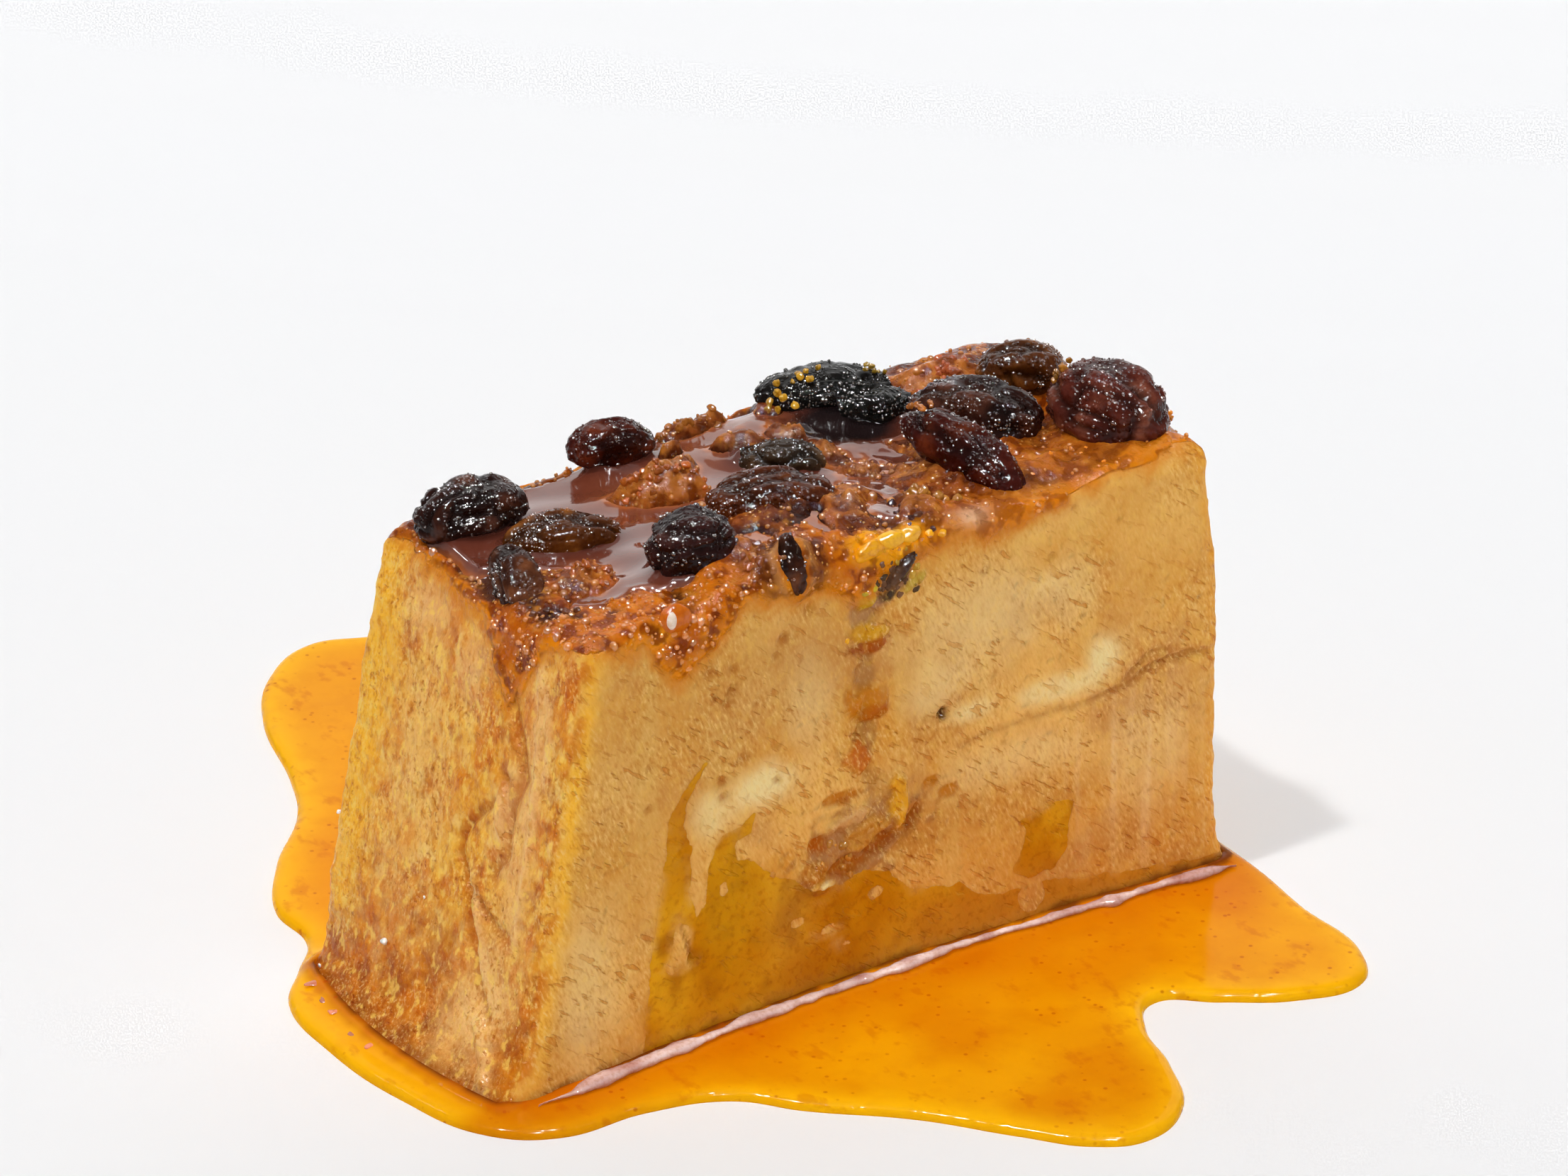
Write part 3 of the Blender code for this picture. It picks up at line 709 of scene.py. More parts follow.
def crust_above(points, shares):
    """Height above the crust's lower edge, with a ragged border."""
    x, y, z = points.T
    front, back, left, right, top = shares
    level_edge = PLAIN_EDGE + 0.9 * noise(points, (6.0, 6.0, 99.0), 71)
    edge = front * edge_height(x, FRONT_EDGE) + left * edge_height(y, LEFT_EDGE)
    edge = edge + (back + right) * level_edge
    rest = 1 - top
    level = np.where(rest > 0.05, edge / np.maximum(rest, 0.05), 50.0)
    ragged = 1.1 * noise(points, 2.6, 72) + 0.4 * noise(points, 1.1, 73)
    bare = ramp(36.0, 46.0, x) * ramp(-16.0, -20.0, y + 0.8 * noise(points, 3.0, 74))
    return z - level + ragged + 0.6 + 8 * ramp(0.35, 0.8, top) * (1 - bare)


def front_depth(points, layers):
    """How far the front face's pores, crack and fissure go in, and what stands out of it."""
    x, _, z = points.T
    rise = np.zeros(len(points))
    for pore_x, pore_z, half, depth in PORES:
        rise -= depth * bump_at(x, z, (pore_x, pore_z), (half, half * 0.8))
    wander = 0.35 * noise(points, 1.6, 81)
    crack, share = line_distance(x, z + wander, CRACK)
    twig, _ = line_distance(x, z + wander, CRACK_TWIG)
    crack = np.minimum(crack, twig + 0.15)
    strength = 1 - 0.9 * ramp(0.35, 0.85, share)
    rise -= 0.40 * np.exp(-(crack / 0.55) ** 2) * strength
    rise += 0.22 * np.exp(-((crack - 1.3) / 0.9) ** 2) * strength
    fissure, share = line_distance(x + 1.1 * noise(points, 4.0, 82), z, FISSURE)
    groove = np.exp(-(fissure / (1.3 + 1.0 * ramp(0.45, 0.75, share))) ** 2)
    rise += groove * (0.6 * noise(points, 1.9, 83) + 0.3 * noise(points, 0.9, 84) - 0.3)
    glossy = 0.6 * groove
    for index, patch in enumerate(PATCHES):
        mask = patch_mask(points, patch, PATCH_SEED + 2 * index)
        rise += patch.rise * mask
        glossy = np.maximum(glossy, mask)
    layers["crack"] = crack + 0.5 * (1 - strength)
    layers["fissure"] = groove
    layers["glossy"] = glossy
    island = bump_at(x, z, (-29.2, 15.0), (1.5, 2.8), 14)
    return rise + 0.30 * ramp(0.3, 0.8, island)


def left_depth(points):
    """The torn and creased relief of the left end."""
    _, y, z = points.T
    rise = 0.30 * layered(points, 2.6, 91) + 0.16 * noise(points, 1.1, 92)
    for line, half, height in LEFT_STROKES:
        distance, share = line_distance(y + 0.4 * noise(points, 2.5, 93), z, line)
        rise += height * np.exp(-(distance / half) ** 2) * (1 - ramp(0.8, 1.0, share) * 0.6)
    grain, _ = cells(points, 1.3, 94)
    wet = 1 - ramp(4.0, 16.0, z)
    return rise + (0.12 + wet * 0.3) * (0.5 - grain)


def slice_relief(points, shares, layers):
    """Outward shift of each point of the slice's skin in mm."""
    x, y, _ = points.T
    front, back, left, right, top = shares
    crusty = ramp(-0.5, 2.0, layers["crust"])
    smooth = 0.16 * noise(points, (3.0, 3.0, 9.0), 101) + 0.05 * noise(points, 1.0, 102)
    pitted, number = cells(points, 2.6, 103)
    pits = -0.5 * np.exp(-(pitted / 0.2) ** 2) * (number > 0.62)
    cut = smooth + pits + 0.25 * noise(points, 7.0, 104)
    tin = 0.24 * layered(points, 2.4, 105) + 0.12 * noise(points, 0.9, 106)
    side = front * (smooth + 0.4 * pits + front_depth(points, layers)) + back * cut
    side = side + left * left_depth(points) + right * tin
    grain, number = cells(points, GRAIN * 1.9, 107)
    lip = 0.35 * (0.62 - grain) * (0.5 + number) + 0.25 * noise(points, 3.0, 108) + 0.15
    side = side * (1 - crusty) + (1 - top) * lip * crusty
    return side, top * crust_relief(x, y)


# ---------------------------------------------------------------- painting the slice

def plain(color, count):
    """One colour for a number of vertices."""
    return np.tile(rgb(*color), (count, 1))


def cut_face_tone(points, seed):
    """Pale custard with broad creamy and pinkish patches and faint upright streaks."""
    broad = layered(points, 13.0, seed)
    streaks = noise(points, (2.2, 9.0, 19.0), seed + 5)
    tone = blend(plain((232, 170, 74), len(points)), rgb(246, 194, 104), ramp(-0.3, 0.6, broad))
    tone = blend(tone, rgb(210, 148, 76), 0.65 * ramp(0.0, 0.7, layered(points, 9.0, seed + 3)))
    tone = blend(tone, rgb(244, 202, 110), 0.45 * ramp(0.1, 0.8, streaks))
    golden = ramp(0.2, 0.9, layered(points, (5.0, 5.0, 7.0), seed + 9))
    return blend(tone, rgb(228, 156, 42), 0.45 * golden)


def front_tone(points, layers):
    """The front cut face: custard, pale patches, brown fissure and crack, orange corners."""
    x, _, z = points.T
    tone = cut_face_tone(points, 201)
    greyed = bump_at(x, z, (-14.0, 48.0), (17.0, 9.0)) + 0.6 * bump_at(x, z, (-38.0, 38.0), (8.0, 20.0))
    tone = blend(tone, rgb(204, 148, 76), 0.55 * greyed)
    for middle_x, middle_z, half_x, half_z, strength in CREAM:
        patch = bump_at(x, z, (middle_x, middle_z), (half_x, half_z)) + 0.16 * noise(points, 3.0, 211)
        tone = blend(tone, rgb(254, 232, 166), strength * ramp(0.10, 0.95, patch))
    streaks = ramp(-0.1, 0.5, noise(points, (0.9, 9.0, 30.0), 217))
    tone = blend(tone, rgb(252, 222, 164), 0.7 * bump_at(x, z, (39.0, 19.0), (8.0, 11.0)) * streaks)
    browned = bump_at(x, z, (22.0, 19.0), (14.0, 4.0)) + bump_at(x, z, (6.0, 23.0), (8.0, 7.0))
    browned = browned + 0.9 * ramp(8.0, 0.0, z) * ramp(-36.0, -20.0, x)
    tone = blend(tone, rgb(190, 120, 34), 0.5 * browned * (0.7 + 0.5 * noise(points, 3.5, 212)))
    # painted shade below the crack and in a patch higher on the left
    under = bump_at(x, z, (44.0, 27.5), (9.0, 3.0)) + bump_at(x, z, (-20.0, 42.0), (7.0, 4.0))
    tone = blend(tone, rgb(206, 148, 78), 0.4 * under)
    fissure = layers["fissure"] * (0.75 + 0.5 * noise(points, 1.8, 213))
    tone = blend(tone, rgb(178, 114, 46), 0.75 * fissure)
    tone = blend(tone, rgb(182, 112, 40), 0.8 * np.exp(-(layers["crack"] / 0.7) ** 2))
    for pore_x, pore_z, half, _ in PORES:
        pore = bump_at(x, z, (pore_x, pore_z - 0.2), (half * 1.1, half * 0.8))
        tone = blend(tone, rgb(176, 98, 10), 0.9 * pore)
    for index, patch in enumerate(PATCHES):
        mask = patch_mask(points, patch, PATCH_SEED + 2 * index)
        tone = blend(tone, rgb(*patch.color), 0.92 * mask)
        tone = blend(tone, rgb(158, 90, 24), mask * (1 - mask))
    return blend(tone, rgb(104, 46, 10), foot_line(points))


def corner_bands(points, tone):
    """Light that comes through the slice's upright corners as orange-yellow bands."""
    x, _, z = points.T
    from_left = x - left_side(-HALF_WIDTH, z)
    from_right = right_side(-HALF_WIDTH, z) - x
    ragged = 0.8 * noise(points, (1.6, 1.6, 2.4), 221) + 0.5 * noise(points, (4.0, 4.0, 7.0), 222)
    band = np.exp(-((from_left - 1.7 - ragged) / 1.3) ** 2)
    band = band * (0.75 + 0.35 * noise(points, (1.2, 1.2, 1.8), 224))
    tone = blend(tone, rgb(246, 184, 80), 0.4 * np.exp(-(from_left / 4.5) ** 2))
    tone = blend(tone, rgb(255, 192, 52), band * (0.45 + 0.55 * ramp(6.0, 34.0, z)))
    blotch = ramp(2.3, 0.4, from_left) * ramp(-0.15, 0.25, noise(points, (1.4, 1.4, 2.0), 223))
    tone = blend(tone, rgb(214, 120, 6), 0.85 * blotch)
    glow = np.exp(-((from_right + 0.6 * ragged) / 1.9) ** 2)
    return blend(tone, rgb(248, 170, 36), 0.8 * glow)


def left_tone(points):
    """The left end: mottled gold, amber and milky film, browner and wetter towards its foot."""
    _, y, z = points.T
    mottle = layered(points, (5.0, 5.0, 8.0), 231)
    tone = blend(plain((230, 144, 18), len(points)), rgb(244, 180, 56), 0.5 + 1.1 * mottle)
    middle = bump_at(y, z, (7.0, 34.0), (7.0, 20.0))
    tone = blend(tone, rgb(250, 204, 118), 0.65 * middle)
    amber = ramp(-0.05, 0.35, layered(points, (2.2, 2.2, 3.2), 235)) * (1 - 0.6 * middle)
    tone = blend(tone, rgb(220, 120, 2), 0.85 * amber)
    deep = ramp(0.15, 0.6, layered(points, (1.4, 1.4, 1.9), 239)) * (1 - 0.5 * middle)
    tone = blend(tone, rgb(178, 80, 0), 0.7 * deep)
    tone = blend(tone, rgb(252, 212, 122), 0.7 * ramp(0.1, 0.7, layered(points, (1.3, 1.3, 2.0), 247)))
    foot = ramp(26.0, 2.0, z)
    tone = blend(tone, rgb(208, 112, 2), 0.65 * foot)
    tone = blend(tone, rgb(160, 70, 0), 0.85 * foot * ramp(-0.15, 0.4, layered(points, 2.6, 249)))
    tone = blend(tone, rgb(186, 88, 4), 0.6 * ramp(4.5, 0.5, z))
    # painted light glowing at the back corner of the left end
    tone = blend(tone, rgb(255, 192, 52), 0.85 * ramp(11.5, 18.5, y) * ramp(4.0, 14.0, z))
    film = bump_at(y, z, (-14.5, 30.0), (4.0, 26.0)) + bump_at(y, z, (-12.0, 10.0), (4.5, 8.0), 30)
    tone = blend(tone, rgb(252, 200, 124), 0.8 * film * (0.8 + 0.6 * noise(points, 4.0, 243)))
    upper_film = bump_at(y, z, (10.0, 53.0), (5.0, 4.0)) + bump_at(y, z, (-1.0, 49.0), (3.0, 5.0))
    tone = blend(tone, rgb(246, 192, 124), 0.65 * upper_film)
    # painted shade in the creases and painted light on the rises
    for line, half, height in LEFT_STROKES:
        distance, _ = line_distance(y, z, line)
        shade = np.exp(-(distance / (half * 1.4)) ** 2)
        stroke = rgb(180, 90, 4) if height < 0 else rgb(248, 198, 130)
        tone = blend(tone, stroke, 0.7 * shade)
    return tone


def foot_line(points):
    """Where the front face is stained dark along its foot, from 0 to 1."""
    x, _, z = points.T
    ends = ramp(-38.0, -50.0, x) + ramp(20.0, 50.0, x)
    strength = np.clip(0.35 + 0.4 * ends + 0.4 * noise(points, 5.0, 257), 0, 0.9)
    return strength * ramp(3.2, 1.9, z + 0.5 * noise(points, 1.5, 258))


def soak_and_reflection_tone(points):
    """Custard under a film of syrup, its gold partly a painted reflection of the amber sauce: golden
    above, browner below and dark along its foot.
    """
    x, _, z = points.T
    patches = layered(points, (6.0, 6.0, 10.0), 251)
    tone = blend(plain((206, 132, 8), len(points)), rgb(236, 174, 30), 0.45 + 1.3 * patches)
    tone = blend(tone, rgb(166, 92, 8), 0.7 * ramp(0.05, 0.7, layered(points, 4.0, 255)))
    tone = blend(tone, rgb(226, 172, 24), 0.5 * bump_at(x, z, (-21.0, 17.0), (5.0, 9.0)))
    tone = blend(tone, rgb(198, 138, 46), 0.6 * bump_at(x, z, (-12.0, 13.0), (4.0, 8.0)))
    tone = blend(tone, rgb(184, 116, 22), 0.5 * ramp(10.0, 2.0, z) * ramp(-22.0, -8.0, x))
    tone = blend(tone, rgb(214, 142, 40), 0.75 * ramp(-4.0, 16.0, x) * ramp(13.0, 5.0, z))
    return blend(tone, rgb(104, 46, 10), foot_line(points))


def crust_tone(points, shares, rough, above, frames):
    """Baked crust: brown under thin glaze, amber towards its lower edge, with painted shade in its
    hollows and painted light on its highest grains.
    """
    x, y, z = points.T
    top = shares[4]
    patch = layered(points, 5.0, 261)
    tone = blend(plain((112, 46, 4), len(points)), rgb(166, 80, 10), 0.5 + patch)
    rimmed = ramp(-9.0, -15.0, y) * ramp(6.0, -4.0, x) + ramp(-42.0, -47.0, x)
    tone = blend(tone, rgb(212, 114, 6), 0.85 * np.clip(rimmed + 0.3 * patch, 0, 1))
    for lump in LUMPS:
        rise = bump_at(x, y, lump.middle, lump.half, lump.turn) * top
        tone = blend(tone, rgb(*lump.color), 0.6 * ramp(0.25, 0.8, rise))
    # mauve-brown where syrup glazes the crust: partly its own colour, partly a painted reflection
    glazed = bump_at(x, y, (6.0, 2.0), (22.0, 15.0)) * top * (0.8 + 0.6 * noise(points, 3.0, 273))
    tone = blend(tone, rgb(128, 78, 50), 0.75 * glazed)
    # painted shade where the crust's relief lies low, painted light on its highest grains
    tone = blend(tone, rgb(56, 22, 8), 0.95 * ramp(0.25, -0.45, rough))
    tone = blend(tone, rgb(196, 122, 46), 0.5 * ramp(0.5, 1.4, rough) * top)
    lip = 1 - top
    tone = blend(tone, rgb(194, 94, 2), 0.8 * lip)
    tone = blend(tone, rgb(236, 148, 8), 0.8 * lip * ramp(0.05, 0.5, layered(points, 4.5, 265)))
    tone = blend(tone, rgb(120, 52, 2), 0.7 * lip * ramp(0.15, 0.7, layered(points, 3.2, 269)))
    tone = blend(tone, rgb(234, 140, 8), 0.9 * lip * ramp(4.4, 1.2, above))
    calm = np.clip(crust_calm(x, y), 0, 1)
    tone = blend(tone, rgb(190, 104, 22), 0.7 * calm)
    tone = blend(tone, rgb(230, 134, 8), 0.75 * ramp(14.0, 24.0, x) * ramp(-17.0, -20.0, y))
    # a painted highlight: a pale patch on the glaze below the long raisin
    painted_highlight = bump_at(x, z, (16.0, 60.0), (2.6, 1.2)) * ramp(-17.0, -19.0, y)
    tone = blend(tone, rgb(236, 190, 150), 0.8 * painted_highlight)
    cluster = bump_at(x, z, (3.4, 60.2), (6.0, 2.4)) * ramp(-16.5, -18.5, y)
    tone = blend(tone, rgb(250, 168, 6), 0.9 * ramp(0.1, 0.6, cluster))
    upright = [raisin.name for raisin in RAISINS].index("raisin_front_upright")
    away = raisin_reach(x, y, z, [frames[upright]])
    # painted shade in a ring round the upright raisin
    tone = blend(tone, rgb(104, 54, 22), 0.8 * np.exp(-((away - 1.6) / 1.8) ** 2))
    return blend(tone, rgb(190, 136, 80), 0.6 * np.exp(-((away - 0.3) / 0.5) ** 2))


def golden_zone_distance(points, front):
    """Signed distance in mm into the golden parts of the front face: syrup-soaked custard whose colour
    is partly a painted reflection of the amber sauce.
    """
    x, _, z = points.T
    wet = np.maximum(inside_distance(x, z, SOAK_AND_REFLECTION_ZONE), inside_distance(x, z, SOAK_AND_REFLECTION_PATCH))
    for middle_x, middle_z, half_x, half_z in DRY_ISLANDS:
        reach = np.hypot((x - middle_x) / half_x, (z - middle_z) / half_z)
        wet = np.minimum(wet, (reach - 1) * min(half_x, half_z))
    return np.where(front > 0.5, wet, -9.0) + 0.35 * noise(points, 2.0, 271)


def slice_tone(points, shares, layers):
    """The colours of the custard on each of the slice's faces."""
    front, back, left, right, _ = shares
    tone = front_tone(points, layers)
    tone = blend(tone, cut_face_tone(points, 281), back)
    tone = blend(tone, left_tone(points), left)
    gold = 0.5 + 0.5 * noise(points, 3.0, 295)
    tone = blend(tone, blend(cut_face_tone(points, 291), rgb(216, 140, 36), gold), right)
    return blend(tone, corner_bands(points, tone), ramp(0.1, 0.6, front))


def make_slice(materials, frames):
    """The slice: the CAD's form with the relief and colours of its five shown faces."""
    along, across, up, quads, ring = slice_grid()
    plain_points = slice_points(along, across, up)
    normals = vertex_normals(plain_points, quads)
    shares = face_shares(normals)
    front, _, left, right, top = shares
    x, y, z = plain_points.T
    layers = {"crust": crust_above(plain_points, shares)}
    side, upward = slice_relief(plain_points, shares, layers)
    near = np.maximum(raisin_reach(x, y, z, frames), 0)
    climb = CRUST_CLIMB * np.exp(-near / CRUST_CLIMB_REACH)
    upward += climb * top
    side += climb * front * ramp(52.0, 56.0, z) * ramp(-4.0, -8.0, x)
    points = plain_points + normals * (side * ramp(0.0, 1.2, z))[:, None]
    points[:, 2] = np.maximum(points[:, 2] + upward, 0.0)
    # the golden zone: syrup soak and a painted reflection of the sauce
    layers["wet"] = golden_zone_distance(plain_points, front)
    soaked = left * (0.35 + ramp(26.0, 3.0, z)) + (1 - front) * ramp(5.0, 0.0, z)
    layers["soaked"] = ramp(0.1, 0.9, soaked + front * layers["glossy"])
    film = bump_at(y, z, (-14.0, 30.0), (4.5, 30.0))
    layers["grainy"] = np.clip(left * (1 - 0.75 * film) + 0.6 * right + 0.15, 0, 1)
    layers["beaded"] = 1 - 0.35 * np.clip(crust_calm(x, y), 0, 1)
    tone = slice_tone(plain_points, shares, layers)
    rough = np.where(top > 0.5, crust_relief(x, y), side)
    piece = add_mesh("pudding_slice", points, [*quads, ring], tone, layers, materials)
    # the golden zone's colour: syrup soak and a painted reflection of the sauce
    paint(piece, "soak_and_reflection_tone", soak_and_reflection_tone(plain_points))
    baked = crust_tone(plain_points, shares, rough, layers["crust"], frames)
    paint(piece, "crust_tone", baked)
    finish_piece(piece, "pudding", "pudding")
    return points, normals, shares, layers, baked


def paint(piece, key, tone):
    """Add another painted colour to a piece."""
    layer = piece.data.color_attributes.new(key, "FLOAT_COLOR", "POINT")
    solid = np.concatenate([tone, np.ones((len(tone), 1))], axis=1)
    layer.data.foreach_set("color", solid.astype(np.float32).ravel())


# ---------------------------------------------------------------- the syrup on the crust

GLAZE_CELLS = (290, 128)
GLAZE_INSET = 1.3  # how far the glaze's rim stays inside the slice's sides
GLAZE_SINK = 3.4  # how far the glaze's hidden flat underside lies below the crust's mean height
MENISCUS_RISE, MENISCUS_REACH = 0.75, 0.8


# ---------------------------------------------------------------- drops, crumbs and beads

# Groups of crumbs on the top: middle as x and y, spread, count, smallest and largest size, colour
TOP_CRUMBS = (
    ((-15.0, 17.6), (1.5, 0.9), 12, (0.7, 1.3), (214, 156, 40)),
    ((-0.6, 18.8), (3.0, 0.9), 26, (0.6, 1.3), (156, 92, 28)),
    ((-12.6, 7.2), (4.4, 1.4), 30, (0.6, 1.2), (176, 90, 24)),
    ((-31.8, -5.4), (2.0, 2.6), 22, (0.6, 1.2), (176, 90, 24)),
    ((12.4, -13.0), (1.8, 1.3), 18, (0.7, 1.4), (188, 126, 40)),
    ((8.4, -16.2), (1.3, 1.4), 14, (0.7, 1.4), (66, 30, 16)),
    ((34.0, 13.0), (3.4, 1.6), 16, (0.7, 1.4), (180, 92, 50)),
    ((4.0, 4.0), (7.0, 6.0), 60, (0.4, 1.0), (158, 104, 58)),
    ((14.0, 1.0), (3.4, 3.4), 30, (0.4, 0.9), (170, 108, 52)),
    ((27.0, -9.0), (2.4, 3.0), 16, (0.6, 1.2), (170, 98, 34)),
    ((-12.6, -15.8), (2.4, 1.6), 22, (0.6, 1.3), (150, 78, 26)),
    ((-39.0, -8.0), (1.8, 2.2), 22, (0.5, 1.0), (104, 52, 18)),
    ((36.0, -14.0), (6.0, 2.2), 22, (0.5, 1.0), (222, 134, 36)),
)
# Groups on the front face: middle as x and z
FRONT_CRUMBS = (
    ((4.0, 59.2), (3.2, 0.9), 12, (0.8, 1.6), (248, 178, 20)),
    ((-0.4, 53.4), (0.8, 0.7), 4, (0.7, 1.2), (204, 174, 40)),
    ((4.4, 56.4), (1.7, 1.8), 18, (0.5, 1.2), (112, 76, 50)),
    ((3.0, 54.2), (1.6, 1.1), 9, (0.5, 1.0), (84, 60, 32)),
    ((6.0, 55.4), (1.6, 1.5), 12, (0.5, 1.1), (190, 150, 50)),
    ((-11.2, 61.0), (2.0, 0.8), 8, (0.6, 1.2), (150, 96, 50)),
    ((0.2, 48.4), (1.3, 0.5), 3, (0.6, 1.1), (222, 162, 30)),
    ((-2.0, 21.0), (3.0, 1.6), 9, (0.5, 1.1), (214, 150, 60)),
    ((-4.6, 17.6), (2.2, 1.0), 6, (0.5, 1.0), (204, 132, 40)),
)
# Flattened pieces set in the front face: middle as x and z, half size, colour
FRONT_CHUNKS = (
    ((0.4, 60.0), (2.3, 1.0, 1.3), (246, 172, 20)),
    ((3.6, 60.5), (2.1, 1.0, 1.1), (250, 186, 32)),
    ((6.4, 60.6), (1.6, 0.9, 0.9), (248, 182, 40)),
    ((4.4, 24.4), (0.8, 0.5, 2.4), (240, 180, 44)),
    ((-0.8, 21.6), (1.7, 0.5, 1.0), (208, 150, 72)),
)
# Groups on raisins: the raisin, middle as x and y, spread, count, size, colour
HIGH_CRUMBS = (
    ("raisin_back_flat", (13.2, 16.4), (2.0, 0.9), 14, (0.6, 1.2), (190, 142, 32)),
    ("raisin_back_flat", (24.2, 14.6), (1.0, 0.8), 7, (0.5, 0.9), (166, 132, 36)),
    ("raisin_long", (20.4, -1.8), (0.9, 1.0), 9, (0.5, 1.0), (170, 100, 32)),
    ("raisin_large", (39.0, -5.4), (0.8, 0.9), 7, (0.6, 1.0), (166, 108, 32)),
)
# Smooth drops of syrup: middle, half size, colour; the second, pale drop is a painted highlight on the
# first
DROPS = (
    ((-29.0, -20.4, 59.3), (2.3, 1.2, 2.0), (206, 104, 4)),
    ((-30.2, -21.5, 59.8), (0.7, 0.35, 1.2), (250, 232, 214)),
)
BEAD_COUNT = 1200
BEAD_SIZE = (0.22, 0.45, 0.12, 0.6)  # usual half size in mm, its spread, least and most
CRUST_BEAD_INDEX, RAISIN_BEAD_INDEX = 2.1, 2.7  # refractive indexes, for their shine
SALT_GRAINS = (
    (7.1, 10.4, 1.0), (19.5, 1.9, 0.5), (1.2, 18.6, 0.35), (21.0, 21.8, 0.6), (-9.8, 36.0, 0.3),
)
FLAKES = ((9.0, 1.0), (3.2, 0.8), (16.4, 1.2), (-0.6, 0.9), (12.6, 0.9))
BALL_FINE, BALL_COARSE, BALL_TINY = 3, 2, 1


def ball(fineness):
    """The points and triangles of a unit ball."""
    shape = bmesh.new()
    bmesh.ops.create_icosphere(shape, subdivisions=fineness, radius=1.0)
    points = np.array([tuple(vertex.co) for vertex in shape.verts])
    faces = np.array([[vertex.index for vertex in face.verts] for face in shape.faces])
    shape.free()
    return points, faces


def scatter(name, centres, halves, colors, material, slot, fineness, rough, seed):
    """One piece of many small lumps, each with its own size, turn, colour and uneven form."""
    random = np.random.default_rng(seed)
    points, faces = ball(fineness)
    count = len(centres)
    all_points, all_faces = [], []
    for index in range(count):
        uneven = 1 + rough * noise(points * 1.3 + 17.0 * index, 1.0, seed)
        spin = random.uniform(0, 2 * math.pi, 3) * (1 if rough > 0.1 else 0)
        turn = np.array(Euler(spin).to_matrix())
        lump = (points * uneven[:, None]) @ turn.T * halves[index]
        all_points.append(lump + centres[index])
        all_faces.append(faces + index * len(points))
    tone = np.repeat(colors, len(points), axis=0)
    places = np.concatenate(all_points)
    places[:, 2] = np.maximum(places[:, 2], 0.02)
    piece = add_mesh(name, places, np.concatenate(all_faces), tone, None, [material])
    return finish_piece(piece, slot)


def varied(color, count, random, spread=0.22):
    """Many slightly different shades of one colour."""
    return rgb(*color) * (1 + spread * random.standard_normal((count, 1)).clip(-2, 2))


def crumb_groups(groups, place, random):
    """Centres, half sizes and colours of groups of crumbs that place() sets on a surface."""
    centres, halves, colors = [], [], []
    for middle, spread, count, (smallest, largest), color in groups:
        spots = random.normal(middle, spread, (count, len(middle)))
        size = random.uniform(smallest, largest, count) / 2
        centres.append(place(spots, size))
        halves.append(size[:, None] * random.uniform(0.75, 1.15, (count, 3)))
        colors.append(varied(color, count, random))
    return np.concatenate(centres), np.concatenate(halves), np.concatenate(colors)


def raisin_top(x, y, size, frame):
    """Height of a raisin's upper skin at some places; places beside it take its middle's height."""
    middle, half, turn = frame
    upward = turn[2] / half
    start = (np.stack([x, y, np.full(len(x), middle[2])], axis=1) - middle) @ turn / half
    slope, square = start @ upward, upward @ upward
    inside = np.maximum(slope ** 2 - square * (np.sum(start ** 2, axis=1) - 1), 0)
    return middle[2] + (np.sqrt(inside) - slope) / square + 0.1 * size


def make_crumbs(material, frames):
    """Candied crumbs on the crust, along the fissure of the front face and on some raisins."""
    random = np.random.default_rng(21)

    def on_top(spots, size):
        x, y = spots.T
        return np.stack([x, y, crust_height(x, y) + crust_relief(x, y)], axis=1)

    def on_front(spots, size):
        x, z = spots.T
        return np.stack([x, front_face(x, z) + 0.1 * size, z], axis=1)

    groups = [
        crumb_groups(TOP_CRUMBS, on_top, random), crumb_groups(FRONT_CRUMBS, on_front, random),
    ]
    places = {raisin.name: frame for raisin, frame in zip(RAISINS, frames)}
    for name, *group in HIGH_CRUMBS:
        frame = places[name]

        def on_raisin(spots, size, frame=frame):
            x, y = spots.T
            return np.stack([x, y, raisin_top(x, y, size, frame)], axis=1)

        groups.append(crumb_groups([group], on_raisin, random))
    centres, halves, colors = (np.concatenate(parts) for parts in zip(*groups))
    scatter("candied_crumbs", centres, halves, colors, material, "pudding", BALL_FINE, 0.45, 31)
    x, z = np.array([chunk[0] for chunk in FRONT_CHUNKS]).T
    centres = np.stack([x, front_face(x, np.minimum(z, 58.0)), z], axis=1)
    halves = np.array([chunk[1] for chunk in FRONT_CHUNKS])
    colors = np.array([rgb(*chunk[2]) for chunk in FRONT_CHUNKS])
    scatter("candied_pieces", centres, halves, colors, material, "pudding", BALL_FINE + 1, 0.3, 36)


def drop_sizes(random, count, usual, spread, least, most):
    """Half sizes in mm of many drops."""
    return random.lognormal(math.log(usual), spread, count).clip(least, most)


